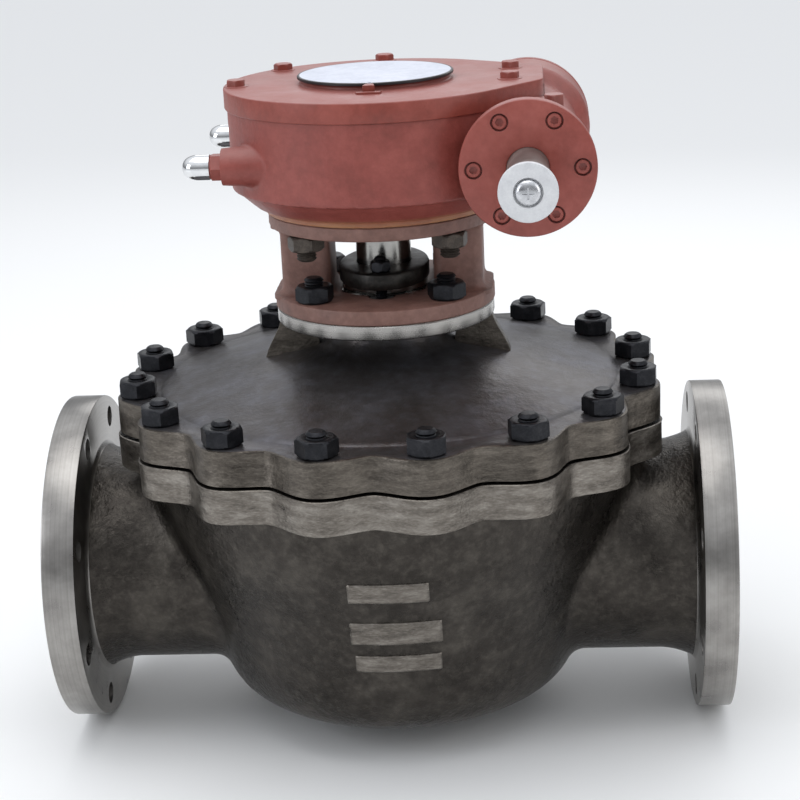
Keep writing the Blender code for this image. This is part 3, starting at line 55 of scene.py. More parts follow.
def linear(hex_colour):
    """A hex sRGB colour as linear red, green, blue and alpha."""
    parts = [int(hex_colour[i:i + 2], 16) / 255 for i in (0, 2, 4)]
    return [c / 12.92 if c <= 0.04045 else ((c + 0.055) / 1.055) ** 2.4 for c in parts] + [1.0]


def add(tree, kind, inputs=None, **settings):
    """Add one node with its settings; each input is a plain value or a socket to link."""
    made = tree.nodes.new(kind)
    for name, value in settings.items():
        setattr(made, name, value)
    for name, value in (inputs or {}).items():
        if isinstance(value, bpy.types.NodeSocket):
            tree.links.new(value, made.inputs[name])
        else:
            made.inputs[name].default_value = value
    return made


def finish_of(name, **constants):
    """A Principled material with its constants set on the shader's own sockets."""
    made = bpy.data.materials.new(name)
    made.use_nodes = True
    shader = made.node_tree.nodes["Principled BSDF"]
    for socket, value in constants.items():
        shader.inputs[socket.replace("_", " ")].default_value = value
    return made


def wired(made, **sockets):
    """Link a material's shader inputs to the sockets that drive them."""
    shader = made.node_tree.nodes["Principled BSDF"]
    for name, socket in sockets.items():
        made.node_tree.links.new(socket, shader.inputs[name.replace("_", " ")])
    return made


def mottled(tree, size, shades, spread=0.2, detail=6.0, seed=0.0, stretch=(1, 1, 1)):
    """A colour that drifts through hex shades in patches of a size in metres."""
    where = add(tree, "ShaderNodeTexCoord").outputs["Object"]
    where = add(tree, "ShaderNodeMapping", {"Vector": where, "Scale": stretch}).outputs["Vector"]
    cloud = add(tree, "ShaderNodeTexNoise", {"Vector": where, "W": seed, "Scale": 1 / size, "Detail": detail,
        "Roughness": 0.62}, noise_dimensions="4D")
    ramp = add(tree, "ShaderNodeValToRGB", {"Fac": cloud.outputs["Fac"]})
    stops = ramp.color_ramp.elements
    while len(stops) < len(shades):
        stops.new(0.5)
    for k, shade in enumerate(shades):
        stops[k].position = 0.5 - spread + 2 * spread * k / (len(shades) - 1)
        stops[k].color = linear(shade)
    return ramp.outputs["Color"], cloud.outputs["Fac"]


def between(tree, factor, low, high, start=0.3, end=0.7):
    """Map a value that runs from start to end onto a range; the defaults suit a noise pattern."""
    return add(tree, "ShaderNodeMapRange", {"Value": factor, "From Min": start, "From Max": end, "To Min": low,
        "To Max": high}).outputs["Result"]


def grained(tree, layers):
    """Bump from layers of (size in metres, depth in metres), the coarsest first."""
    where = add(tree, "ShaderNodeTexCoord").outputs["Object"]
    normal = None
    for k, (size, depth) in enumerate(layers):
        grain = add(tree, "ShaderNodeTexNoise", {"Vector": where, "W": 3.0 + k, "Scale": 1 / size,
            "Detail": 3.0, "Roughness": 0.55}, noise_dimensions="4D")
        inputs = {"Height": grain.outputs["Fac"], "Distance": depth, "Strength": 1.0}
        if normal:
            inputs["Normal"] = normal
        normal = add(tree, "ShaderNodeBump", inputs).outputs["Normal"]
    return normal


def cast_finish(name, shades, patch, rough, layers, stretch=(1, 1, 1), **constants):
    """A sand-cast surface: drifting colour, drifting gloss and a grainy skin."""
    made = finish_of(name, **constants)
    tree = made.node_tree
    colour, drift = mottled(tree, patch, shades, stretch=stretch)
    fine, _ = mottled(tree, patch / 7, shades, 0.25, 4.0, 5.0, stretch)
    mix = add(tree, "ShaderNodeMix", {"Factor": 0.4, 6: colour, 7: fine}, data_type="RGBA")
    return wired(made, Base_Color=mix.outputs[2], Roughness=between(tree, drift, *rough),
        Normal=grained(tree, layers))


# Carbon steel casting, oiled: a dark brown-grey skin with a soft wet sheen.
body_cast = cast_finish("oiled_carbon_steel_casting", ("221F1C", "3D3935", "656059"), 0.055, (0.2, 0.44),
    ((0.03, 0.0016), (0.0095, 0.001), (0.0034, 0.0007), (0.0012, 0.0003)), Metallic=0.85)
# The same steel ground by hand along the flange edge: brighter, streaked and nicked.
ground_edge = cast_finish("hand_ground_steel_edge", ("3B3733", "736D66", "A8A39B"), 0.03, (0.24, 0.48),
    ((0.012, 0.0012), (0.0025, 0.0005)), (1, 1, 3.5), Metallic=0.9)


def through(knots, steps):
    """Points along a smooth curve through (radius, height) knots."""
    points = []
    last = len(knots) - 1
    for i in range(last):
        p0, p1, p2, p3 = (knots[min(max(j, 0), last)] for j in (i - 1, i, i + 1, i + 2))
        for s in range(steps):
            t = s / steps
            points.append(tuple(0.5 * (2 * b + (c - a) * t + (2 * a - 5 * b + 4 * c - d) * t * t
                                       + (3 * b - a - 3 * c + d) * t ** 3)
                                for a, b, c, d in zip(p0, p1, p2, p3)))
    return points + [tuple(knots[-1])]


def mesh_of(name, points, faces, finishes, sharp=35):
    """A smooth-shaded mesh with its faces turned outwards."""
    bm = bmesh.new()
    verts = [bm.verts.new(p) for p in points]
    for face in faces:
        bm.faces.new([verts[i] for i in face])
    bmesh.ops.recalc_face_normals(bm, faces=bm.faces)
    if bm.calc_volume(signed=True) < 0:
        bmesh.ops.reverse_faces(bm, faces=bm.faces)
    mesh = bpy.data.meshes.new(name)
    bm.to_mesh(mesh)
    bm.free()
    for finish in finishes:
        mesh.materials.append(finish)
    mesh.shade_smooth()
    mesh.set_sharp_from_angle(angle=radians(sharp))
    return mesh


def lofted(name, rings, finishes, loop=False, sharp=35):
    """A skin over rings of equally many points, capped or closed into a loop."""
    count, rows = len(rings[0]), len(rings)
    faces = []
    for r in range(rows if loop else rows - 1):
        low, high = r * count, (r + 1) % rows * count
        for k in range(count):
            n = (k + 1) % count
            faces.append((low + k, low + n, high + n, high + k))
    if not loop:
        faces += [tuple(range(count)), tuple(range((rows - 1) * count, rows * count))]
    return mesh_of(name, [p for ring in rings for p in ring], faces, finishes, sharp)


def circle(radius, height, count=96, swell=0.0):
    """A level ring; swell adds the scallops of a bolted flange."""
    ring = []
    for k in range(count):
        turn = 2 * pi * k / count
        reach = radius + swell * (0.5 - 0.5 * cos(lobe_count * turn)) ** 0.8
        ring.append((reach * cos(turn), reach * sin(turn), height))
    return ring


def turned(name, profile, finishes, count=96, loop=False):
    """A mesh turned from a (radius, height) profile."""
    return lofted(name, [circle(r, z, count) for r, z in profile], finishes, loop)


def shown(name, mesh):
    """An object in the scene that holds a mesh, a lamp or a camera."""
    obj = bpy.data.objects.new(name, mesh)
    bpy.context.scene.collection.objects.link(obj)
    return obj


def solid(name, rings, finishes, loop=False):
    """A lofted piece shown under its own name."""
    return shown(name, lofted(name, rings, finishes, loop))


def spun(name, profile, finishes, count=96, loop=False):
    """A turned piece shown under its own name."""
    return shown(name, turned(name, profile, finishes, count, loop))


def hoop(x, y, z, radius, count, axis="Z"):
    """A small circle round a point, square to an axis."""
    turns = np.linspace(0, 2 * pi, count, endpoint=False)
    if axis == "X":
        return [(x, y + radius * cos(t), z + radius * sin(t)) for t in turns]
    return [(x + radius * cos(t), y + radius * sin(t), z) for t in turns]


def roughened(mesh, low, high, inner, depth, sink, grain, shift):
    """Let an edge between two heights wander in and out, as casting and filing leave it."""
    for vert in mesh.vertices:
        x, y, z = vert.co
        reach = hypot(x, y)
        if low < z < high and reach > inner:
            wander = depth * noise.noise(Vector((x * grain[0] + shift, y * grain[0], z * grain[1]))) - sink
            vert.co.x += wander * x / reach
            vert.co.y += wander * y / reach


def placed(mesh, spot, turn=0.0, axis="Z"):
    """Turn a mesh about an axis, then stand it at a spot."""
    mesh.transform(Matrix.Translation(spot) @ Matrix.Rotation(turn, 4, axis))
    return mesh


def settled(obj):
    """Turn an object's modifiers into its plain mesh."""
    graph = bpy.context.evaluated_depsgraph_get()
    mesh = bpy.data.meshes.new_from_object(obj.evaluated_get(graph))
    obj.modifiers.clear()
    obj.data = mesh


def carved(obj, *tools):
    """Cut tools out of a piece for good."""
    for tool in tools:
        step = obj.modifiers.new("cut", "BOOLEAN")
        step.operation = "DIFFERENCE"
        step.solver = "EXACT"
        step.object = tool
    settled(obj)
    for tool in tools:
        bpy.data.objects.remove(tool)
    obj.data.shade_smooth()
    obj.data.set_sharp_from_angle(angle=radians(35))
    return obj


def joined(name, parts):
    """One piece out of several meshes or objects, with their materials kept."""
    made = [part if isinstance(part, bpy.types.Object) else shown(name, part) for part in parts]
    with bpy.context.temp_override(active_object=made[0], selected_editable_objects=made):
        bpy.ops.object.join()
    made[0].name = name
    return made[0]


def standing_for(obj, slot, *replaced, body="valve"):
    """Say which body a piece rides and which solids it replaces; the slot argument is not used."""
    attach(obj, body)
    if replaced:
        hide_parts(*replaced)


bowl_knots = [(0.076, -0.1524), (0.133, -0.1432), (0.171, -0.127), (0.19, -0.1), (0.2045, -0.05), (0.219, 0.0),
    (0.2414, 0.062), (0.2525, 0.108)]
bowl = through(bowl_knots, 8)
body_segments = 320
rings = [(0.0605, 0.0, 0), (0.062, 0.0015, 0), (0.062, 0.012, 0), (0.066, 0.0185, 0)]
rings += [(r, pipe_z + h, 0) for r, h in bowl]
under = joint_z - 0.035
ledge = body_valley - 0.2535
for share, drop in ((0.02, 0.0058), (0.06, 0.003), (0.14, 0.0012), (0.3, 0.0002), (0.9, 0.0)):
    rings.append((0.2535 + share * ledge, under - drop, share * body_lobe))
for back, rise in ((0.0012, 0.0002), (0.0003, 0.0009), (0.0, 0.0022), (0.0, 0.0328), (0.0004, 0.0342),
        (0.0015, 0.035)):
    rings.append((body_valley - back, under + rise, body_lobe))
rings += [(mouth_radius + 0.002, joint_z, 0), (mouth_radius, joint_z - 0.002, 0),
    (mouth_radius, pipe_z + 0.11, 0)]
rings += [(r - bowl_wall, pipe_z + h, 0) for r, h in reversed(bowl) if -0.1 < h < 0.1]
rings += [(0.155, pipe_z - 0.117, 0), (0.125, pipe_z - 0.13, 0), (0.07, pipe_z - 0.136, 0),
    (0.048, pipe_z - 0.136, 0), (0.046, pipe_z - 0.134, 0), (0.046, pipe_z - 0.127, 0),
    (0.045, pipe_z - 0.126, 0), (0.0306, pipe_z - 0.126, 0), (0.0306, pipe_z - 0.163, 0)]
body_mesh = lofted("body_casting", [circle(r, z, body_segments, s) for r, z, s in rings],
    [body_cast, ground_edge])
for face in body_mesh.polygons:
    x, y, z = face.center
    if z > under - 0.0003 and hypot(x, y) > body_valley - 0.006 and z < joint_z + 0.001:
        face.material_index = 1
roughened(body_mesh, under - 0.001, joint_z - 0.0015, 0.2605, 0.0014, 0.0008, (26, 40), 0)
body = shown("body_casting", body_mesh)
carved(body, solid("neck_opening", [hoop(x, 0, pipe_z, 0.104, 96, "X") for x in (-0.29, 0.29)], []))


# Pipe necks with their flanges. Each neck is cast with the bowl and rolls into it
# in a wide fillet. The flange rim, its faces and the bore are turned bright.
neck_radius = 0.11
flange_radius = 0.1715
flange_back = 0.3122
flange_face = 0.348
fillet = 0.022
neck_count = 160
bolt_circle = 0.14925
bolt_hole = 0.0112


def lathe_marks(made, axis, centre, pitch, shades, rough, depth=0.00004):
    """Turning marks round an axis: bands by distance along it and away from it."""
    tree = made.node_tree
    where = add(tree, "ShaderNodeTexCoord").outputs["Object"]
    moved = add(tree, "ShaderNodeMapping", {"Vector": where, "Location": [-c for c in centre]})
    parts = add(tree, "ShaderNodeSeparateXYZ", {"Vector": moved.outputs["Vector"]}).outputs
    along = parts["XYZ".index(axis)]
    across = [parts[k] for k in range(3) if k != "XYZ".index(axis)]
    flat = add(tree, "ShaderNodeCombineXYZ", {0: across[0], 1: across[1]}).outputs[0]
    reach = add(tree, "ShaderNodeVectorMath", {0: flat}, operation="LENGTH").outputs["Value"]
    total = add(tree, "ShaderNodeMath", {0: along, 1: reach}, operation="ADD").outputs[0]
    bands = add(tree, "ShaderNodeTexNoise", {"W": total, "Scale": 1 / pitch, "Detail": 3.0, "Roughness": 0.7},
        noise_dimensions="1D").outputs["Fac"]
    colour, drift = mottled(tree, 0.045, shades)
    lift = add(tree, "ShaderNodeMix", {"Factor": bands, 6: linear("8A8886"), 7: linear("FFFFFF")},
        data_type="RGBA").outputs[2]
    mix = add(tree, "ShaderNodeMix", {"Factor": 0.5, 6: colour, 7: lift}, data_type="RGBA",
        blend_type="MULTIPLY").outputs[2]
    gloss = between(tree, drift, *rough)
    bump = add(tree, "ShaderNodeBump", {"Height": bands, "Distance": depth, "Strength": 1.0}).outputs["Normal"]
    return wired(made, Base_Color=mix, Roughness=gloss, Normal=bump)


# Turned carbon steel, oiled: fine lathe rings round the pipe axis and a few dull patches.
turned_steel = lathe_marks(finish_of("turned_carbon_steel", Metallic=1.0), "X", (0, 0, pipe_z), 0.0022,
    ("8C8986", "A3A09C", "B8B5B1"), (0.24, 0.38))


def bowl_gap(x, y, h):
    """Distance from the bowl's skin and the direction away from it."""
    reach = hypot(x, y)
    wall = bowl + [(0.2545, 0.13), (0.2545, 0.2)]
    gaps = []
    for (r0, h0), (r1, h1) in zip(wall, wall[1:]):
        dr, dh = r1 - r0, h1 - h0
        t = min(max(((reach - r0) * dr + (h - h0) * dh) / (dr * dr + dh * dh), 0), 1)
        r, up = reach - r0 - t * dr, h - h0 - t * dh
        gaps.append((hypot(r, up), 1 if r * dh - up * dr > 0 else -1, r, up))
    gap, side, r, up = min(gaps)
    return gap * side, Vector((r * x / reach, r * y / reach, up)) * side / gap


def neck_rings():
    """The fillet between neck and bowl, rolled as a ball along both skins."""
    arcs = []
    for k in range(neck_count):
        turn = 2 * pi * k / neck_count
        out = Vector((0, cos(turn), sin(turn)))
        low, high = 0.1, 0.3
        for _ in range(26):
            x = 0.5 * (low + high)
            centre = Vector((x, 0, 0)) + (neck_radius + fillet) * out
            gap, away = bowl_gap(*centre)
            if gap > fillet:
                high = x
            else:
                low = x
        angle = acos(max(-1, min(1, out.dot(away))))
        arc = []
        for s in range(9):
            t = s / 8
            way = (sin((1 - t) * angle) * out + sin(t * angle) * away) / max(sin(angle), 1e-6)
            arc.append(centre - fillet * way)
        arc.append(arc[-1] - 0.005 * away)
        arcs.append(arc)
    return [[tuple(arc[s] + Vector((0, 0, pipe_z))) for arc in arcs] for s in range(10)]


def ring_x(radius, x, count=neck_count):
    return [(x, radius * cos(2 * pi * k / count), pipe_z + radius * sin(2 * pi * k / count))
        for k in range(count)]


hub = through([(0.1235, flange_back), (0.119, flange_back - 0.0035), (0.115, flange_back - 0.012),
    (0.1115, flange_back - 0.024), (neck_radius, 0.2778)], 5)
neck = [ring_x(r, x) for r, x in ((0.112, 0.18), (0.112, 0.09), (0.0983, 0.09), (0.0983, 0.122), (0.076, 0.122),
    (0.076, 0.238), (0.099, 0.3435), (0.101, flange_face), (0.134, flange_face), (0.135, flange_face - 0.001),
    (0.135, 0.3465), (0.1355, 0.346), (0.1695, 0.346), (0.1711, 0.3454), (flange_radius, 0.344),
    (flange_radius, flange_back + 0.002), (0.1711, flange_back + 0.0006), (0.1695, flange_back))]
neck += [ring_x(r, x) for r, x in hub]
neck += neck_rings()
necks = []
for side, name in ((1, "right"), (-1, "left")):
    mesh = lofted(f"pipe_neck_{name}", neck, [body_cast, turned_steel], True)
    for face in mesh.polygons:
        x, y, z = face.center
        reach = hypot(y, z - pipe_z)
        if x > flange_back - 0.003 or reach < 0.1015:
            face.material_index = 1
    piece = shown(f"pipe_neck_{name}", mesh)
    drills = []
    for k in range(8):
        turn = pi / 8 + k * pi / 4
        y, z = bolt_circle * cos(turn), pipe_z + bolt_circle * sin(turn)
        drills.append(lofted("drill", [hoop(x, y, z, bolt_hole, 40, "X") for x in (0.3, 0.36)], [turned_steel]))
    carved(piece, joined("drill", drills))
    if side < 0:
        piece.data.transform(Matrix.Rotation(pi, 4, "Z"))
    necks.append(piece)
body = joined("body_casting", [body] + necks)

# Blank raised pads on the bowl, where a foundry casts its marks proud of the wall.
# They are left without any lettering, rubbed bright where they stand proud.
pads = []
for low, high, left, right in ((0.033, 0.056, -0.033, 0.046), (-0.018, 0.009, -0.034, 0.056),
        (-0.051, -0.031, -0.031, 0.054)):
    rings = []
    for h in np.linspace(low, high, 24):
        skin = np.interp(h, [p[1] for p in bowl], [p[0] for p in bowl])
        ring = []
        for x in np.linspace(left, right, 48):
            edge = min(h - low, high - h, x - left, right - x)
            lift = 0.0026 * min(max(edge / 0.0024, 0), 1) ** 0.6 - 0.0002
            ring.append((x, -sqrt((skin + lift) ** 2 - x * x), pipe_z + h))
        ring += [(x, 0.006 - sqrt(skin ** 2 - x * x), pipe_z + h) for x in np.linspace(right, left, 12)]
        rings.append(ring)
    pads.append(lofted("casting_pad", rings, [ground_edge]))
body = joined("body_casting", [body] + pads)
standing_for(body, "cast_steel", "body")


# Bonnet casting. A dished cover in the same steel, with its own scalloped flange,
# a stuffing box, and a small top flange turned bright. Two gussets brace that flange.
bonnet_low = 0.3326
bonnet_rim = 0.3681
bonnet_valley = 0.261
bonnet_lobe = 0.0215
crown = 0.4021
top_flange_low = 0.4355
top_flange = 0.4505
stuffing_top = 0.466
gland_stud_y = 0.052
# Carbon steel casting, oiled and wiped: brown to bluish grey, smoother than the body.
bonnet_cast = cast_finish("wiped_carbon_steel_casting", ("3D3733", "535050", "71727A"), 0.09, (0.26, 0.46),
    ((0.04, 0.0014), (0.0095, 0.0003), (0.004, 0.0003), (0.0012, 0.00012)), Metallic=0.75)
# The bonnet's own flange edge was only wire-brushed: darker than the body's.
brushed_edge = cast_finish("wire_brushed_steel_edge", ("2F2B28", "5C564F", "857E75"), 0.03, (0.26, 0.5),
    ((0.012, 0.0012), (0.0025, 0.0005)), (1, 1, 3.5), Metallic=0.88)
# Its top flange was turned and left clean: paler, with fine bright rings.
turned_top = lathe_marks(finish_of("turned_carbon_steel_top_flange", Metallic=1.0), "Z", (0, 0, 0), 0.0016,
    ("A3A09C", "BAB7B3", "CCC9C5"), (0.2, 0.34))
outside = through([(0.2345, bonnet_rim + 0.0025), (0.19, 0.38), (0.148, 0.3892), (0.106, 0.3975),
    (0.083, crown), (0.0715, 0.4062), (0.064, 0.4145), (0.0605, 0.424), (0.0612, 0.431),
    (0.065, top_flange_low)], 6)
rings = [(0.0336, 0.379, 0), (0.072, 0.3781, 0), (0.143, 0.3652, 0), (0.2137, 0.3489, 0), (0.2137, 0.325, 0),
    (0.2141, 0.3246, 0), (0.225, 0.3246, 0), (0.2257, 0.3254, 0), (0.2257, bonnet_low, 0)]
for back, z in ((0.0015, bonnet_low), (0.0004, bonnet_low + 0.0006), (0, bonnet_low + 0.0016),
        (0, bonnet_rim - 0.0024), (0.0008, bonnet_rim - 0.0008), (0.0028, bonnet_rim)):
    rings.append((bonnet_valley - back, z, bonnet_lobe))
rings += [(bonnet_valley - 0.009, bonnet_rim, 0.6 * bonnet_lobe), (0.2385, bonnet_rim + 0.0003, 0),
    (0.2365, bonnet_rim + 0.0012, 0)]
rings += [(r, z, 0) for r, z in outside]
rings += [(r, z, 0) for r, z in ((0.1095, top_flange_low), (0.1112, top_flange_low + 0.0012),
    (0.1115, top_flange_low + 0.0025), (0.1115, top_flange - 0.0014), (0.1105, top_flange),
    (0.0482, top_flange), (0.048, stuffing_top - 0.001), (0.0472, stuffing_top), (0.039, stuffing_top),
    (0.0383, stuffing_top - 0.0008), (0.0383, 0.4154), (0.0336, 0.4151))]
bonnet_mesh = lofted("bonnet_casting", [circle(r, z, body_segments, s) for r, z, s in rings],
    [bonnet_cast, brushed_edge, turned_top], True)
for face in bonnet_mesh.polygons:
    x, y, z = face.center
    reach = hypot(x, y)
    if reach > bonnet_valley - 0.002 and bonnet_low < z < bonnet_rim - 0.0004:
        face.material_index = 1
    if z > top_flange_low + 0.0003 and reach > 0.04:
        face.material_index = 2
roughened(bonnet_mesh, bonnet_low + 0.001, bonnet_rim - 0.002, 0.2585, 0.0012, 0.0007, (24, 36), 7)


def softened(obj, width, segments=3):
    """Round the edges of a piece as casting or filing does."""
    step = obj.modifiers.new("rounding", "BEVEL")
    step.width = width
    step.segments = segments
    step.limit_method = "ANGLE"
    step.angle_limit = radians(30)
    settled(obj)
    obj.data.shade_smooth()
    obj.data.set_sharp_from_angle(angle=radians(40))
    return obj


extras = []
for side in (1, -1):
    edge = through([(0.134, 0.3862), (0.1275, 0.3925), (0.1235, 0.403), (0.113, 0.423), (0.1075, 0.4375)], 5)
    edge += [(0.078, 0.4375), (0.07, 0.41), (0.066, 0.3862)]
    faces = [[(side * x, y * side, z) for x, z in edge] for y in (-0.009, 0.009)]
    extras.append(softened(solid("gusset", faces, [brushed_edge]), 0.003))
for y in (-gland_stud_y, gland_stud_y):
    ear = turned("gland_ear", [(0.0128, 0.437), (0.0128, 0.4642), (0.0118, 0.4652)], [bonnet_cast, turned_top],
        48)
    extras.append(placed(ear, (0, y, 0)))
bonnet = joined("bonnet_casting", [bonnet_mesh] + extras)
standing_for(bonnet, "bonnet_steel", "bonnet")


# Gasket between body and bonnet: a flat graphite ring, seen only as a dark line in the joint.
graphite = cast_finish("pressed_graphite", ("2A2A2C", "3A3A3C", "4A4A4A"), 0.01, (0.5, 0.7), ((0.001, 0.0001),),
    Metallic=0.2)
gasket = spun("joint_gasket", [(0.229, 0.3303), (0.247, 0.3303), (0.247, 0.3323), (0.229, 0.3323)], [graphite],
    192, True)
standing_for(gasket, "graphite", "bonnet_gasket")


# Joint bolting. Sixteen studs with heavy hex nuts, black oxide with an oil film, stand
# on the scallops. Each nut came to rest at its own angle.
# Black-oxided alloy steel: near black, satin, rubbed to bare metal in specks.
black_oxide = cast_finish("black_oxide_alloy_steel", ("141517", "212226", "3B3B3E"), 0.012, (0.26, 0.46),
    ((0.0016, 0.00015),), Metallic=0.75)


def threaded(radius, low, high, pitch):
    """Crests and roots of a stud's thread between two heights, as (height, radius)."""
    steps = max(int((high - low) / pitch), 1)
    rows = []
    for k in range(steps):
        base = low + k * (high - low) / steps
        rows += [(base, radius - 0.55 * pitch), (base + 0.5 * (high - low) / steps, radius)]
    return rows + [(high, radius - 0.55 * pitch)]


def hex_ring(height, radius, half=None):
    """A level circle, or a hexagon of a half width cut back to the radius."""
    ring = []
    for k in range(36):
        turn = 2 * pi * k / 36
        flat = (turn + pi / 6) % (pi / 3) - pi / 6
        reach = radius if half is None else min(half / cos(flat), radius)
        ring.append((reach * cos(turn), reach * sin(turn), height))
    return ring


def nut_and_stud(name, stud, width, height, end, below, finish, pitch=0.0025):
    """A heavy hex nut seated at height 0 on a stud that runs below it and out of its top."""
    half = width / 2
    rings = [hex_ring(z, r) for z, r in threaded(stud, -below, 0.0, pitch)] if below > 0.002 else []
    rings += [hex_ring(0.0, 0.93 * half), hex_ring(0.0004, 0.97 * half)]
    rings += [hex_ring(0.0004 + k * 0.0007, half * (0.99 + 0.055 * k), half) for k in range(4)]
    rings += [hex_ring(height - 0.0003 - k * 0.0008, half * (0.97 + 0.06 * k), half) for k in (3, 2, 1, 0)]
    rings += [hex_ring(height, 0.9 * half), hex_ring(height + 0.0001, stud + 0.0012)]
    rings += [hex_ring(height - 0.0006, stud - 0.0004)]
    rings += [hex_ring(z, r) for z, r in threaded(stud, height + 0.0004, end - 0.0012, pitch)]
    rings += [hex_ring(end, stud - 0.003), hex_ring(end + 0.0002, 0.4 * stud)]
    return lofted(name, rings, [finish], False, 28)


def ring_tree():
    """Geometry Nodes: copies of a mesh stand round a circle, each turned by a seeded amount."""
    tree = bpy.data.node_groups.new("pieces_round_a_circle", "GeometryNodeTree")
    for label, kind in (("Geometry", "Geometry"), ("Count", "Int"), ("Circle Radius", "Float"),
            ("First Angle", "Float"), ("Seat Height", "Float"), ("Turn Spread", "Float"), ("Seed", "Int"),
            ("Finish", "Material")):
        tree.interface.new_socket(label, in_out="INPUT", socket_type=f"NodeSocket{kind}")
    tree.interface.new_socket("Geometry", in_out="OUTPUT", socket_type="NodeSocketGeometry")
    given = add(tree, "NodeGroupInput").outputs
    spots = add(tree, "GeometryNodeMeshCircle", {"Vertices": given["Count"], "Radius": given["Circle Radius"]})
    index = add(tree, "GeometryNodeInputIndex").outputs[0]
    share = add(tree, "ShaderNodeMath", {0: index, 1: given["Count"]}, operation="DIVIDE").outputs[0]
    facing = add(tree, "ShaderNodeMath", {0: share, 1: 2 * pi}, operation="MULTIPLY").outputs[0]
    spare = add(tree, "FunctionNodeRandomValue", {2: 0.0, 3: given["Turn Spread"], "Seed": given["Seed"]},
        data_type="FLOAT").outputs[1]
    turn = add(tree, "ShaderNodeMath", {0: facing, 1: spare}, operation="ADD").outputs[0]
    turning = add(tree, "ShaderNodeCombineXYZ", {2: turn}).outputs[0]
    placed = add(tree, "GeometryNodeInstanceOnPoints", {"Points": spots.outputs["Mesh"],
        "Instance": given["Geometry"], "Rotation": turning}).outputs["Instances"]
    first = add(tree, "ShaderNodeCombineXYZ", {2: given["First Angle"]}).outputs[0]
    rise = add(tree, "ShaderNodeCombineXYZ", {2: given["Seat Height"]}).outputs[0]
    moved = add(tree, "GeometryNodeTransform", {"Geometry": placed, "Translation": rise, "Rotation": first})
    plain = add(tree, "GeometryNodeRealizeInstances", {"Geometry": moved.outputs["Geometry"]}).outputs[0]
    coated = add(tree, "GeometryNodeSetMaterial", {"Geometry": plain, "Material": given["Finish"]}).outputs[0]
    add(tree, "NodeGroupOutput", {"Geometry": coated})
    return tree


round_a_circle = ring_tree()


def ringed(name, mesh, finish, count, radius, first, height, spread, seed):
    """One plain mesh of equal pieces round the Z axis, made by the node tree."""
    obj = shown(name, mesh)
    step = obj.modifiers.new("ring", "NODES")
    step.node_group = round_a_circle
    values = {"Count": count, "Circle Radius": radius, "First Angle": first, "Seat Height": height,
        "Turn Spread": spread, "Seed": seed, "Finish": finish}
    for socket in round_a_circle.interface.items_tree:
        if socket.in_out == "INPUT" and socket.name in values:
            step[socket.identifier] = values[socket.name]
    settled(obj)
    return obj


nut = nut_and_stud("joint_bolting", 0.01, 0.036, 0.018, 0.0238, 0.0, black_oxide)
joint_bolting = ringed("joint_bolting", nut, black_oxide, lobe_count, 0.26, pi / lobe_count,
    bonnet_rim + seated, 1.0, 4)
standing_for(joint_bolting, "black_bolting", *[f"bonnet_stud_{k:02d}" for k in range(1, 17)])


# Trim inside the bore: a polished ball between two turned seat rings, each with a soft
# insert and a wave spring behind it. Only the bores show from outside.
# Hard-plated steel ball: mirror bright with faint polishing haze.
plated = cast_finish("polished_nickel_plate", ("B9B8B4", "D2D1CE", "E6E5E2"), 0.03, (0.08, 0.2),
    ((0.006, 0.00002),), Metallic=1.0)
ball_radius = 0.118
port_radius = 0.076


def square(x, y, half_x, half_y, heights):
    """Rings of an upright square bar round a point."""
    return [[(x + half_x * a, y + half_y * b, z) for a, b in ((1, 1), (-1, 1), (-1, -1), (1, -1))]
        for z in heights]


turns = np.linspace(0.2136, pi - 0.4005, 60)
ball_profile = [(0.024, 0.0152), (0.025, 0.0162)]
ball_profile += [(ball_radius * sin(t), pipe_z - ball_radius * cos(t)) for t in turns]
ball_profile += [(0.046, pipe_z + 0.1215), (0.0455, pipe_z + 0.122)]
ball = spun("plated_ball", ball_profile, [plated], 128)
port = solid("ball_port", [ring_x(port_radius, x) for x in (-0.13, 0.13)], [plated])
slot = solid("ball_slot", square(0, 0, 0.0263, 0.0123, (pipe_z + 0.1, pipe_z + 0.126)), [plated])
carved(ball, port, slot)
standing_for(ball, "bright_nickel", "ball", body="quarter_turn_train")


def seat_face(radius, gap):
    """Where a seat of a radius stands along the bore, at a gap from the ball."""
    return sqrt((ball_radius + gap) ** 2 - radius ** 2)


# Turned stainless steel: pale, with fine rings that draw out the highlights.
seat_steel = lathe_marks(finish_of("turned_stainless_steel", Metallic=1.0), "X", (0, 0, pipe_z), 0.0014,
    ("8E8D8B", "B6B5B2", "CDCCC9"), (0.2, 0.34))
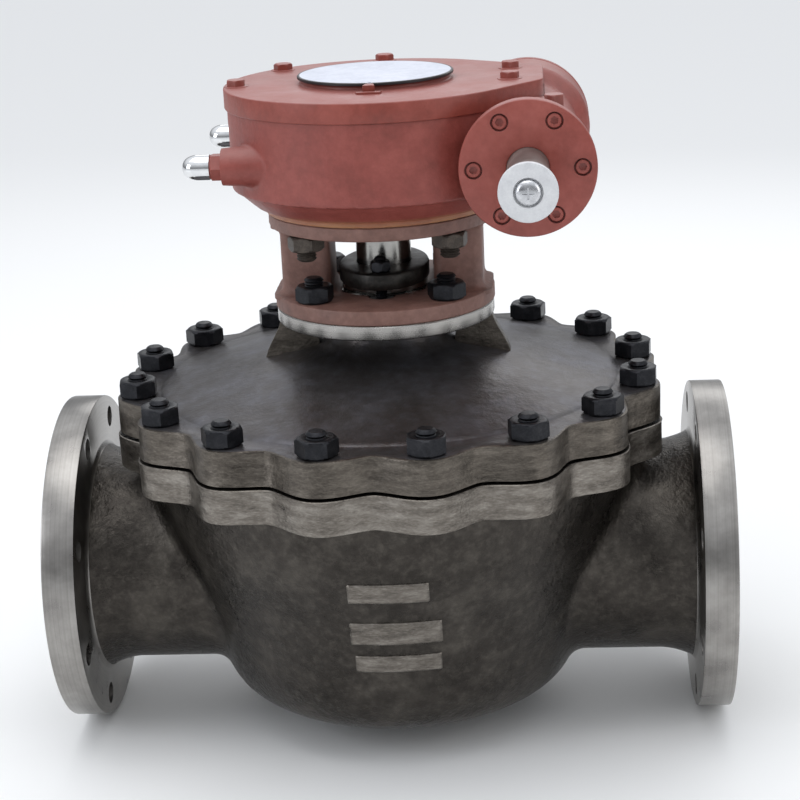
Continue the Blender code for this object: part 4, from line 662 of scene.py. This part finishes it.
# Turned PTFE: waxy white, matt.
ptfe = cast_finish("turned_ptfe", ("DEDBD2", "E8E6DF", "F0EEE8"), 0.01, (0.4, 0.55), ((0.0008, 0.00003),))
seat = [(port_radius, 0.117), (port_radius, seat_face(port_radius, 0.0012)), (0.083, seat_face(0.083, 0.0012)),
    (0.083, 0.0861), (0.091, 0.0861), (0.091, seat_face(0.091, 0.0012)), (0.0975, seat_face(0.0975, 0.0012)),
    (0.098, 0.0665), (0.098, 0.117)]
insert = [(0.0833, 0.0855), (0.0833, seat_face(0.0833, 0.0006)), (0.087, seat_face(0.087, 0.0006)),
    (0.0907, seat_face(0.0907, 0.0006)), (0.0907, 0.0855)]
spring = [(0.084 + 0.01 * t, 0.1173) for t in (0, 0.5, 1)] + [(0.094 - 0.01 * t, 0.1217) for t in (0, 0.5, 1)]
for side, name in ((1, "right"), (-1, "left")):
    flip = Matrix.Identity(4) if side > 0 else Matrix.Rotation(pi, 4, "Z")
    for part, profile, finish, slot in (("seat_ring", seat, seat_steel, "machined_steel"),
            ("seat_insert", insert, ptfe, "ptfe"), ("seat_spring", spring, seat_steel, "machined_steel")):
        piece = solid(f"{part}_{name}_fine", [ring_x(r, x, 128) for r, x in profile], [finish], True)
        piece.data.transform(flip)
        standing_for(piece, slot, f"{part}_{name}")


# Stem, gland and packing. The ground stem rises through a bronze bush and packing; an
# oval gland flange, forged and blacked, presses the follower down with two studs.
stem_low = pipe_z + 0.1223
stem_end = 0.6456
# Ground stainless steel: almost a mirror, its highlights drawn out along the stem.
ground_stem = lathe_marks(finish_of("ground_stainless_stem", Metallic=1.0), "Z", (0, 0, 0), 0.0011,
    ("85837F", "B1AFAB", "D0CECA"), (0.16, 0.3), 0.00002)
stem_profile = [(0.0275, stem_low), (0.028, stem_low + 0.0005), (0.028, 0.3648), (0.0365, 0.3648),
    (0.037, 0.3653), (0.037, 0.3773), (0.0365, 0.3778), (0.0285, 0.3778), (0.028, 0.3783),
    (0.028, stem_end - 0.002), (0.026, stem_end), (0.0125, stem_end), (0.0123, stem_end - 0.0005),
    (0.0123, stem_end - 0.012)]
stem = spun("ground_stem", stem_profile, [ground_stem])
tang = lofted("stem_tang", square(0, 0, 0.026, 0.012, (stem_low - 0.02, stem_low + 0.004)), [ground_stem])
keyway = solid("stem_keyway", square(-0.028, 0, 0.0048, 0.0073, (0.5753, 0.6359)), [ground_stem])
stem = joined("ground_stem", [carved(stem, keyway), tang])
standing_for(stem, "machined_steel", "stem", body="quarter_turn_train")
follower = [(0.0283, 0.446), (0.038, 0.446), (0.038, 0.4663), (0.0435, 0.4663), (0.044, 0.4668),
    (0.044, 0.4738), (0.0435, 0.4743), (0.0288, 0.4743), (0.0283, 0.4738)]
standing_for(spun("gland_follower", follower, [ground_stem], 96, True), "machined_steel", "gland")
# Forged steel, blacked: dark with a smooth scale.
forged_black = cast_finish("blacked_forged_steel", ("1B1A19", "2C2A28", "48443F"), 0.02, (0.3, 0.5),
    ((0.01, 0.0006), (0.0015, 0.0002)), Metallic=0.7)
oval = []
for inset, z in ((0.003, 0.4749), (0.0008, 0.4755), (0.0, 0.477), (0.0, 0.4885), (0.001, 0.4906),
        (0.0035, 0.4918), (0.009, 0.4919)):
    oval.append([((0.046 - inset) * cos(t), (0.068 - inset) * sin(t), z)
        for t in np.linspace(0, 2 * pi, 96, endpoint=False)])
gland_flange = solid("oval_gland_flange", oval, [forged_black])
carved(gland_flange, spun("gland_eye", [(0.0286, 0.46), (0.0286, 0.5)], [forged_black]))
standing_for(gland_flange, "black_bolting", "gland_flange")
gland_nuts = []
for y, turn in ((-gland_stud_y, 0.2), (gland_stud_y, 0.7)):
    nut = nut_and_stud("gland_bolting", 0.006, 0.019, 0.011, 0.0158, 0.047, black_oxide, 0.00175)
    gland_nuts.append(placed(nut, (0, y, 0.4922), turn))
gland_bolting = joined("gland_bolting", gland_nuts)
standing_for(gland_bolting, "black_bolting", "gland_stud_front", "gland_stud_back")


# Bracket. Two rounded columns stand between a base flange and a head flange, all one
# casting under a dull brown primer. The fillets at the columns' ends are cast.
# Brown shop primer on rough iron: matt, rubbed thin in patches, with grit under it.
brown_primer = cast_finish("brown_primer_on_casting", ("5C4039", "7C5A50", "96736A"), 0.045, (0.46, 0.66),
    ((0.016, 0.0008), (0.003, 0.0004), (0.0011, 0.00015)))
bracket_low, window_low = 0.4508, 0.4663
window_top, bracket_top = 0.5353, 0.5493


def slab(x0, x1, half_depth, corner, grow, height):
    """A level ring in the shape of a rounded rectangle, grown outwards all round."""
    ring = []
    for cx, cy, start in ((x1 - corner, half_depth - corner, 0), (x0 + corner, half_depth - corner, pi / 2),
            (x0 + corner, corner - half_depth, pi), (x1 - corner, corner - half_depth, 1.5 * pi)):
        for k in range(9):
            turn = start + pi / 2 * k / 8
            ring.append((cx + (corner + grow) * cos(turn), cy + (corner + grow) * sin(turn), height))
    return ring


column_root = 0.009
climb = [(column_root * (1 - sin(a)), column_root * (1 - cos(a))) for a in np.linspace(0, pi / 2, 8)]
column = [(column_root, window_low - 0.004)] + [(g, window_low + h) for g, h in climb]
column += [(g, window_top - h) for g, h in reversed(climb)] + [(column_root, window_top + 0.004)]
base_ring = [(0.0495, bracket_low), (0.1113, bracket_low), (0.1125, bracket_low + 0.0012),
    (0.1125, window_low - 0.003), (0.1117, window_low - 0.0009), (0.1097, window_low), (0.051, window_low),
    (0.0495, window_low - 0.0014)]
head_ring = [(0.046, window_top + 0.001), (0.0472, window_top), (0.1122, window_top),
    (0.1142, window_top + 0.0009), (0.115, window_top + 0.003), (0.115, bracket_top - 0.001),
    (0.114, bracket_top), (0.046, bracket_top)]
base = spun("bracket_casting", base_ring, [brown_primer], 128, True)
slots = [lofted("ear_slot", [hoop(0, y, z, 0.014, 32) for z in (bracket_low - 0.002, window_low + 0.002)],
    [brown_primer]) for y in (-gland_stud_y, gland_stud_y)]
carved(base, joined("ear_slot", slots))
parts = [base, turned("bracket_head", head_ring, [brown_primer], 128, True)]
for x0, x1 in ((-0.102, -0.052), (0.052, 0.102)):
    parts.append(lofted("bracket_column", [slab(x0, x1, 0.038, 0.01, g, h) for g, h in column], [brown_primer]))
bracket = joined("bracket_casting", parts)
standing_for(bracket, "brown_primer", "bracket")


# Bracket bolting. Four nuts hold the base flange down, black like the joint's, and four
# hang under the head flange. Those are zinc-phosphated, and the gearbox studs show below.
phosphated = cast_finish("phosphated_alloy_steel", ("2C2825", "4B443E", "6E655C"), 0.01, (0.4, 0.6),
    ((0.003, 0.0003), (0.001, 0.0001)), Metallic=0.55)
nut = nut_and_stud("bracket_bolting", 0.01, 0.034, 0.017, 0.0248, 0.0, black_oxide)
bracket_bolting = ringed("bracket_bolting", nut, black_oxide, 4, 0.066 * sqrt(2), pi / 4, window_low + seated,
    0.9, 7)
standing_for(bracket_bolting, "black_bolting", *[f"bracket_stud_{k}" for k in range(1, 5)])
nut = nut_and_stud("gearbox_bolting", 0.01, 0.032, 0.015, 0.0257, 0.028, phosphated)
gearbox_bolting = ringed("gearbox_bolting", nut, phosphated, 4, 0.071 * sqrt(2), pi / 4, seated - window_top,
    0.5, 3)
gearbox_bolting.data.transform(Matrix.Rotation(pi, 4, "X"))
standing_for(gearbox_bolting, "black_bolting", *[f"gearbox_stud_{k}" for k in range(1, 5)])


# Gearbox casting. A round case with the worm's tube cast along its right side, a flange
# and a drum at the tube's ends, and two bosses for the stops. Sprayed in red primer.
case_low, case_top = 0.5496, 0.6556
case_radius = 0.15
worm_x, worm_z = 0.15, 0.6091
tube_front, tube_rear = -0.14, 0.128
drum_front = 0.068
stop_y = 0.088


def primer(name, shades, dust_and_top_light, rough, layers, chips):
    """Sprayed primer: mottled red, with pale dust and painted top light where the casting faces up, and bare
    chips low down.
    """
    made = cast_finish(name, shades, 0.055, rough, layers)
    tree = made.node_tree
    red = tree.nodes["Principled BSDF"].inputs["Base Color"].links[0].from_socket
    where = add(tree, "ShaderNodeTexCoord").outputs
    facing = add(tree, "ShaderNodeSeparateXYZ", {0: where["Normal"]}).outputs[2]
    cloud = add(tree, "ShaderNodeTexNoise", {"Vector": where["Object"], "Scale": 26.0, "Detail": 5.0,
        "Roughness": 0.6}).outputs["Fac"]
    # Faces that look up are lightened: partly pale dust, partly painted light from above.
    level = between(tree, facing, 0.0, 0.85, 0.25, 0.95)
    share = add(tree, "ShaderNodeMath", {0: level, 1: between(tree, cloud, 0.55, 1.15)}, operation="MULTIPLY",
        use_clamp=True).outputs[0]
    dusted_and_lit = add(tree, "ShaderNodeMix", {"Factor": share, 6: red, 7: linear(dust_and_top_light)}, data_type="RGBA").outputs[2]
    height = add(tree, "ShaderNodeSeparateXYZ", {0: where["Object"]}).outputs[2]
    low_down = between(tree, height, 0.0, 1.0, case_low + 0.012, case_low + 0.001)
    flattened = add(tree, "ShaderNodeVectorMath", {0: where["Object"], 1: (1, 1, 0)},
        operation="MULTIPLY").outputs[0]
    from_stem = add(tree, "ShaderNodeVectorMath", {0: flattened}, operation="LENGTH").outputs["Value"]
    near_stem = between(tree, from_stem, 0.0, 1.0, 0.134, 0.124)
    at_foot = add(tree, "ShaderNodeMath", {0: low_down, 1: near_stem}, operation="MULTIPLY").outputs[0]
    worn = add(tree, "ShaderNodeMath", {0: at_foot, 1: between(tree, cloud, 0.35, 1.2)}, operation="MULTIPLY",
        use_clamp=True).outputs[0]
    final = add(tree, "ShaderNodeMix", {"Factor": worn, 6: dusted_and_lit, 7: linear(chips)},
        data_type="RGBA").outputs[2]
    return wired(made, Base_Color=final)


# Its pale dust colour is also painted light on the faces that look up.
red_primer = primer("red_oxide_primer_on_casting", ("6B2E25", "863F37", "9B5148"), "9A625C", (0.36, 0.56),
    ((0.018, 0.0007), (0.0028, 0.00035), (0.001, 0.00012)), "A5744F")


def tight_outline(circles, count=48):
    """The convex outline round a few circles given as (x, y, radius)."""
    points = sorted((x + r * cos(2 * pi * k / count), y + r * sin(2 * pi * k / count)) for x, y, r in circles
        for k in range(count))
    hull = []
    for way in (points, points[::-1]):
        chain = []
        for p in way:
            while len(chain) > 1 and ((chain[-1][0] - chain[-2][0]) * (p[1] - chain[-2][1])
                    - (chain[-1][1] - chain[-2][1]) * (p[0] - chain[-2][0])) <= 1e-9:
                chain.pop()
            chain.append(p)
        hull += chain[:-1]
    return hull


def case_outline(margin):
    return tight_outline([(0, 0, case_radius + margin), (0.138, -0.024, 0.027 + margin),
        (0.138, 0.05, 0.027 + margin)], 96)


def along_y(profile, count=96):
    """Rings of (radius, distance along Y) round the worm's axis."""
    return [[(worm_x + r * sin(2 * pi * k / count), y, worm_z + r * cos(2 * pi * k / count))
        for k in range(count)] for r, y in profile]


shells = [turned("case", [(0.1175, case_low), (0.1175, 0.556), (0.127, 0.558), (0.1415, 0.5712),
    (0.1465, 0.5775), (0.147, 0.59)], [red_primer], 128)]
outline = case_outline(-0.0006)
shells.append(lofted("case_wall", [[(x, y, z) for x, y in outline] for z in (0.5758, 0.66)], [red_primer]))
shells.append(lofted("worm_tube", along_y([(0.0645, tube_front - 0.004), (0.0645, tube_front + 0.0115),
    (0.0518, tube_front + 0.0165), (0.0518, drum_front - 0.013), (0.0618, drum_front),
    (0.0645, drum_front + 0.006), (0.0645, tube_rear + 0.004)]), [red_primer]))
for y in (-stop_y, stop_y):
    rings = [hoop(-x, y, worm_z, r, 48, "X") for r, x in ((0.0218, 0.096), (0.0178, 0.15))]
    shells.append(lofted("stop_boss", rings, [red_primer]))
housing = joined("gearbox_casting", shells)
step = housing.modifiers.new("cast_in_one", "REMESH")
step.mode = "VOXEL"
step.voxel_size = 0.0016
step.use_smooth_shade = True
step = housing.modifiers.new("cast_corners", "SMOOTH")
step.factor = 0.5
step.iterations = 8
step = housing.modifiers.new("fewer_faces", "DECIMATE")
step.ratio = 0.22
settled(housing)


def cutter(name, rings):
    return solid(name, rings, [red_primer])


lid_space = cutter("lid_space", [[(x, y, z) for x, y in case_outline(0.003)] for z in (case_top, 0.69)])
hollow = spun("hollow", [(0.0473, case_low - 0.002), (0.0473, 0.5676), (0.083, 0.5676), (0.134, 0.5836),
    (0.134, 0.66)], [red_primer])
chamber = cutter("chamber", along_y([(0.034, -0.15), (0.034, 0.14)], 64))
front_face = cutter("front_face", along_y([(0.08, -0.17), (0.08, tube_front)], 16))
rear_face = cutter("rear_face", along_y([(0.08, tube_rear), (0.08, 0.16)], 16))
left_face = cutter("left_face", [[(x, y, z) for y, z in ((-0.13, 0.58), (0.13, 0.58), (0.13, 0.64),
    (-0.13, 0.64))] for x in (-0.16, -0.146)])
stop_holes = [cutter("stop_hole", [hoop(x, y, worm_z, 0.0083, 32, "X") for x in (-0.15, -0.09)])
    for y in (-stop_y, stop_y)]
carved(housing, lid_space, hollow, chamber, front_face, rear_face, left_face, *stop_holes)
standing_for(housing, "red_primer", "gear_housing")


# Gearbox lid, its bolts and the pointer. A flat cast plate with the case's own outline,
# faced on top for the position plate; the bolts were painted over with it.
lid_low, lid_top = 0.6559, 0.6759
# The same primer over the milled lid: smoother than on the case, with more pale dust, which is partly painted
# top light.
lid_primer = primer("red_oxide_primer_on_lid", ("6B2D23", "843B30", "994D42"), "9C645F", (0.34, 0.52),
    ((0.022, 0.0006), (0.0028, 0.00025), (0.001, 0.0001)), "A5744F")


def hex_head(name, width, low, high, finish):
    """A hex bolt head with its chamfered crown, between two heights."""
    half = width / 2
    rows = ((low, 2.0), (high - 0.0016, 2.0), (high - 0.0011, 1.1), (high - 0.0005, 1.03),
        (high - 0.0001, 0.96), (high, 0.8), (high - 0.0002, 0.45))
    return lofted(name, [hex_ring(z, half * limit, half) for z, limit in rows], [finish], False, 28)


outline = case_outline(0.002)
lid = solid("gearbox_lid", [[(x, y, z) for x, y in outline] for z in (lid_low, lid_top)], [lid_primer])
softened(lid, 0.0014)
carved(lid, spun("lid_bore", [(0.0473, lid_low - 0.001), (0.0473, lid_low + 0.011), (0.0123, lid_low + 0.011),
    (0.0123, 0.69)], [lid_primer]))
lid_boss = turned("lid_boss", [(0.0123, lid_top - 0.002), (0.0775, lid_top - 0.002), (0.0762, lid_top + 0.0003),
    (0.0745, lid_top + 0.0014), (0.074, lid_top + 0.0036), (0.0731, lid_top + 0.0045),
    (0.0123, lid_top + 0.0045)], [lid_primer], 128, True)
lid_parts = [lid, lid_boss]
reach = case_radius - 0.011
for x, y in [(reach * cos(radians(a)), reach * sin(radians(a))) for a in (90, 138, 186)] + [(0.134, 0.05),
        (0.134, -0.024)]:
    head = hex_head("lid_bolt", 0.017, lid_top - 0.002, lid_top + 0.007, lid_primer)
    spot = turned("lid_spot", [(0.0125, lid_top - 0.002), (0.0125, lid_top + 0.0004),
        (0.0118, lid_top + 0.0007)], [lid_primer], 40)
    lid_parts += [placed(head, (x, y, 0), 7 * x + 3 * y), placed(spot, (x, y, 0))]
block = [[(-0.004, -0.0797, z), (0.004, -0.0797, z), (0.006, -0.092, z), (-0.006, -0.092, z)]
    for z in (lid_top - 0.002, 0.6837)]
lid_parts.append(softened(solid("pointer", block, [lid_primer]), 0.0008, 2))
foot = [[(-0.013, -0.0925, z), (0.013, -0.0925, z), (0.011, -0.0985, z), (-0.011, -0.0985, z)]
    for z in (lid_top - 0.002, lid_top + 0.0022)]
lid_parts.append(softened(solid("pointer_foot", foot, [lid_primer]), 0.0008, 2))
lid = joined("gearbox_lid", lid_parts)
standing_for(lid, "red_primer", "gear_cover")
plug = [hex_head("grease_plug_head", 0.018, 0.658, 0.6697, lid_primer),
    turned("grease_plug_stalk", [(0.0071, 0.645), (0.0071, 0.66)], [lid_primer], 32)]
plug = joined("grease_plug_fine", [placed(mesh, (0.176, -0.094, 0)) for mesh in plug])
standing_for(plug, "red_primer", "grease_plug")


# Position plate. A thin disc on the stem's spindle under white enamel, left blank. Its
# black edge and the small notch in it turn past the pointer with the ball.
# Stoved enamel: smooth and pale, slightly clouded, with a soft gloss; black on the edge.
enamel = cast_finish("white_enamel", ("AEB3C2", "C9CDD9", "DDDFE7"), 0.035, (0.42, 0.58), ((0.012, 0.00006),))
edge_black = cast_finish("black_enamel_edge", ("0E0E10", "19191C", "26262A"), 0.01, (0.35, 0.5),
    ((0.002, 0.00005),))
plate = turned("position_plate", [(0.012, 0.6345), (0.012, 0.6802), (0.0125, 0.6807), (0.0774, 0.6807),
    (0.078, 0.6811), (0.078, 0.683), (0.0774, 0.6836), (0.0756, 0.6837)], [enamel, edge_black], 160)
for face in plate.polygons:
    x, y, z = face.center
    if hypot(x, y) > 0.0757 or z < 0.682:
        face.material_index = 1
plate = shown("position_plate", plate)
notch = cutter("notch", [[(0.003 * a, y, z) for a, y in ((-1, -0.083), (1, -0.083), (0.35, -0.0725),
    (-0.35, -0.0725))] for z in (0.679, 0.686)])
carved(plate, notch)
standing_for(plate, "white_enamel", "position_indicator", body="quarter_turn_train")


# Worm covers. Turned discs over both ends of the worm tube, each held by six socket
# screws sunk below its face; primer has half filled the sockets.
# Primer over turned steel: the smoothest of the reds, with pale dust and painted top light where it faces up.
cover_primer = primer("red_oxide_primer_on_turned_cover", ("733329", "8D443B", "A0574E"), "9C645F", (0.32, 0.5),
    ((0.02, 0.0003), (0.0026, 0.00018), (0.0009, 0.00006)), "A5744F")


cover_screw_circle = 0.051
socket_screw = [hex_ring(z, r) for z, r in ((0.0046, 0.003), (0.0046, 0.0064), (0.005, 0.0068),
    (0.0082, 0.0068), (0.0088, 0.0062))]
socket_screw += [hex_ring(0.0088, 1.0, 0.0036), hex_ring(0.0062, 1.0, 0.0034), hex_ring(0.0058, 0.001)]
for name, face, way, open_eye in (("front", tube_front - seated, 1, True),
        ("rear", tube_rear + seated, -1, False)):
    disc = [(0.064, 0.0), (0.065, 0.0008), (0.065, 0.0086), (0.0644, 0.0096), (0.0632, 0.01)]
    disc = [(0.0203, 0.0)] + disc + [(0.0222, 0.01), (0.0203, 0.009)] if open_eye else disc + [(0.02, 0.01)]
    cover = spun(f"worm_cover_{name}_fine", disc, [cover_primer], 128, open_eye)
    sinks = []
    for k in range(6):
        x, y = cover_screw_circle * cos(pi * k / 3), cover_screw_circle * sin(pi * k / 3)
        sinks.append(lofted("sink", [hoop(x, y, z, 0.0085, 40) for z in (0.005, 0.013)], [cover_primer]))
    carved(cover, joined("sinks", sinks))
    screws = ringed("cover_screws", lofted("cover_screws", socket_screw, [cover_primer], False, 28),
        cover_primer, 6, cover_screw_circle, 0.0, 0.0, 1.0, 5)
    cover = joined(f"worm_cover_{name}_fine", [cover, screws])
    placed(cover.data, (worm_x, face, worm_z), way * pi / 2, "X")
    standing_for(cover, "red_primer", f"worm_cover_{name}")


# Worm shaft. One-start worm cut on a ground shaft; its front end takes the handwheel. A
# white-painted washer and a domed screw close that end. An oil film dulls the steel.
ground_shaft = lathe_marks(finish_of("ground_worm_shaft", Metallic=0.75), "Y", (worm_x, 0, worm_z), 0.0013,
    ("7F7D79", "A9A7A3", "CCCAC6"), (0.34, 0.5), 0.00003)
pitch = 0.015708
worm_length = 0.05
pitch_radius = 0.025
flank_slope = 0.36397
shaft_rows = [(0.019, -0.256), (0.02, -0.255), (0.02, -0.039), (0.0188, -0.0385), (0.0188, 0.0385),
    (0.02, 0.039), (0.02, 0.099), (0.019, 0.1)]
shaft = solid("worm_shaft_fine", along_y(shaft_rows), [ground_shaft])
carved(shaft, cutter("tapped", along_y([(0.0063, -0.26), (0.0063, -0.23)], 32)))
steps = 48
total = round(worm_length / pitch * steps)
section = [(0.017, -1), (0.0188, -1), (0.0296, -1), (0.03, -0.8), (0.03, 0.8), (0.0296, 1), (0.0188, 1),
    (0.017, 1)]
helix = []
for k in range(total + 1):
    turn = 2 * pi * (k / steps - worm_length / pitch / 2)
    ring = []
    for radius, side in section:
        along = pitch * turn / (2 * pi) + side * (pitch / 4 - (radius - pitch_radius) * flank_slope)
        ring.append((worm_x - radius * cos(turn), along, worm_z + radius * sin(turn)))
    helix.append(ring)
shaft = joined("worm_shaft_fine", [shaft, lofted("worm_thread", helix, [ground_shaft])])
standing_for(shaft, "machined_steel", "worm_shaft", body="worm")
# Brushed-on white paint: plain and a little uneven.
washer_white = cast_finish("white_painted_washer", ("BFC0C3", "D0D1D3", "DEDFE0"), 0.012, (0.3, 0.48),
    ((0.004, 0.00012), (0.001, 0.00004)))
washer = along_y([(0.027, -0.2564), (0.027, -0.2614), (0.0266, -0.2621), (0.0258, -0.2623), (0.0136, -0.2623),
    (0.0126, -0.2594), (0.0063, -0.2593), (0.0063, -0.2563), (0.0262, -0.2563)])
washer = solid("end_washer_fine", washer, [washer_white], True)
standing_for(washer, "white_enamel", "shaft_end_washer", body="worm")
# Bright zinc plate on turned screws: silvery, with faint clouds.
bright_zinc = cast_finish("bright_zinc_plate", ("A9AAAD", "C6C7CA", "DEDFE2"), 0.008, (0.16, 0.34),
    ((0.003, 0.0001), (0.0009, 0.00004)), Metallic=1.0)
screw = along_y([(0.0012, -0.2658), (0.004, -0.2656), (0.0076, -0.2649), (0.0102, -0.2638), (0.0116, -0.2622),
    (0.012, -0.2606), (0.012, -0.2597), (0.006, -0.2596), (0.006, -0.233), (0.005, -0.232)], 64)
screw = solid("end_screw_fine", screw, [bright_zinc])
bars = [square(worm_x, worm_z, wide, tall, (-0.268, -0.264)) for wide,
    tall in ((0.0052, 0.0009), (0.0009, 0.0052))]
carved(screw, *[cutter("cross", [[(x, y, z) for x, z, y in ring] for ring in bar]) for bar in bars])
standing_for(screw, "machined_steel", "shaft_end_screw", body="worm")


# Travel stops. Each stop screw is locked by a painted hex nut and covered by a long
# chromed cap nut with a bullet end. The front one stops the ball closed.
# Bright chrome on a cap nut: a mirror with a little haze.
chrome = cast_finish("bright_chrome_plate", ("C9CACC", "DDDEDF", "ECECEC"), 0.01, (0.05, 0.14),
    ((0.005, 0.00003),), Metallic=1.0)
for name, y in (("closed", -stop_y), ("open", stop_y)):
    lock = hex_head("lock_nut", 0.024, 0.1463, 0.1573, cover_primer)
    bullet = [(0.0118, 0.1574), (0.0125, 0.1579), (0.0125, 0.17)]
    bullet += [(0.0125 * cos(a) ** 0.8, 0.17 + 0.0152 * sin(a)) for a in np.linspace(0.12, 1.5, 14)]
    stem_screw = [(0.0064, 0.0355), (0.008, 0.037), (0.008, 0.15)]
    stop = joined(f"stop_screw_{name}_fine", [lock, turned("bullet", bullet, [chrome], 64),
        turned("stop_thread", stem_screw, [bright_zinc], 40)])
    placed(stop.data, (0, y, worm_z), -pi / 2, "Y")
    standing_for(stop, "bright_nickel", f"stop_screw_{name}")


# Running parts inside the gearbox and the bonnet keep their solids' shape and get the
# metal they are made of: a bronze wheel and bushes, steel key and sleeve, graphite rings.
# Cast bearing bronze, machined: warm yellow-brown. Drawn key steel: grey, even and clean.
bearing_bronze = cast_finish("cast_bearing_bronze", ("8A6537", "AD8348", "C79F5F"), 0.02, (0.28, 0.45),
    ((0.006, 0.0002), (0.0015, 0.00008)), Metallic=0.95)
key_steel = cast_finish("bright_drawn_key_steel", ("83817E", "A5A3A0", "BFBDBA"), 0.015, (0.24, 0.4),
    ((0.004, 0.00005),), Metallic=1.0)
for finish, names in ((bearing_bronze, ("worm_wheel", "trunnion_bush", "stem_bush", "worm_bush_front",
        "worm_bush_rear")), (key_steel, ("stem_key", "drive_sleeve")), (graphite, ("stem_packing",))):
    for name in names:
        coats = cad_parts[name].data.materials
        coats.clear()
        coats.append(finish)


# Studio: a plain pale floor under the valve, a pale room, and soft lamps above and beside it.
floor_tint = finish_of("pale_matt_floor", Base_Color=linear("F4F4F3"), Roughness=0.9)
floor = shown("floor", mesh_of("floor", [(-40, -40, -0.0005), (40, -40, -0.0005), (40, 40, -0.0005),
    (-40, 40, -0.0005)], [(0, 1, 2, 3)], [floor_tint]))
floor.data.flip_normals()

world = bpy.data.worlds.new("pale_room")
bpy.context.scene.world = world
world.use_nodes = True
tree = world.node_tree
way = add(tree, "ShaderNodeTexCoord").outputs["Generated"]
height = add(tree, "ShaderNodeSeparateXYZ", {"Vector": way}).outputs[2]
sky = add(tree, "ShaderNodeMapRange", {"Value": height, "From Min": 0.05, "From Max": 0.8, "To Min": 0.3,
    "To Max": 1.12}, interpolation_type="SMOOTHSTEP").outputs["Result"]
room = add(tree, "ShaderNodeBackground", {"Color": linear("F2F5FA"), "Strength": sky})
tree.links.new(room.outputs[0], tree.nodes["World Output"].inputs["Surface"])


def soft_lamp(name, place, aim, width, height, watts, tint="FFFFFF"):
    lamp = bpy.data.lights.new(name, "AREA")
    lamp.shape = "RECTANGLE"
    lamp.size = width
    lamp.size_y = height
    lamp.energy = watts
    lamp.color = linear(tint)[:3]
    obj = shown(name, lamp)
    obj.location = place
    obj.rotation_euler = (Vector(aim) - Vector(place)).to_track_quat("-Z", "Y").to_euler()


soft_lamp("overhead", (-0.3, -0.4, 2.6), (0, 0, 0.4), 2.2, 1.6, 17)
soft_lamp("left_window", (-2.4, -1.6, 1.4), (0, 0, 0.3), 1.2, 1.6, 19, "F4F8FF")
soft_lamp("right_window", (2.5, -1.3, 1.3), (0, 0, 0.3), 1.0, 1.6, 12)
soft_lamp("back_rim", (0.4, 2.4, 1.7), (0, 0, 0.4), 2.4, 1.0, 10)

# Camera, at the photograph's viewing angle: slightly right of the front and above it.
focal_length = 90.2
distance = 2.09816
azimuth, elevation, roll = radians(4.188), radians(17.222), radians(2.68)
aim = Vector((0.00958, 0.0, pipe_z + 0.165409))
back = Vector((sin(azimuth) * cos(elevation), -cos(azimuth) * cos(elevation), sin(elevation)))
level = Vector((cos(azimuth), sin(azimuth), 0))
upward = back.cross(level)
right = cos(roll) * level - sin(roll) * upward
top = sin(roll) * level + cos(roll) * upward
lens = bpy.data.cameras.new("camera")
lens.lens = focal_length
lens.clip_end = 30
camera = shown("camera", lens)
stand = aim + distance * back
camera.matrix_world = Matrix([(right[k], top[k], back[k], stand[k]) for k in range(3)] + [(0, 0, 0, 1)])
bpy.context.scene.camera = camera
bpy.context.scene.view_settings.view_transform = "Standard"
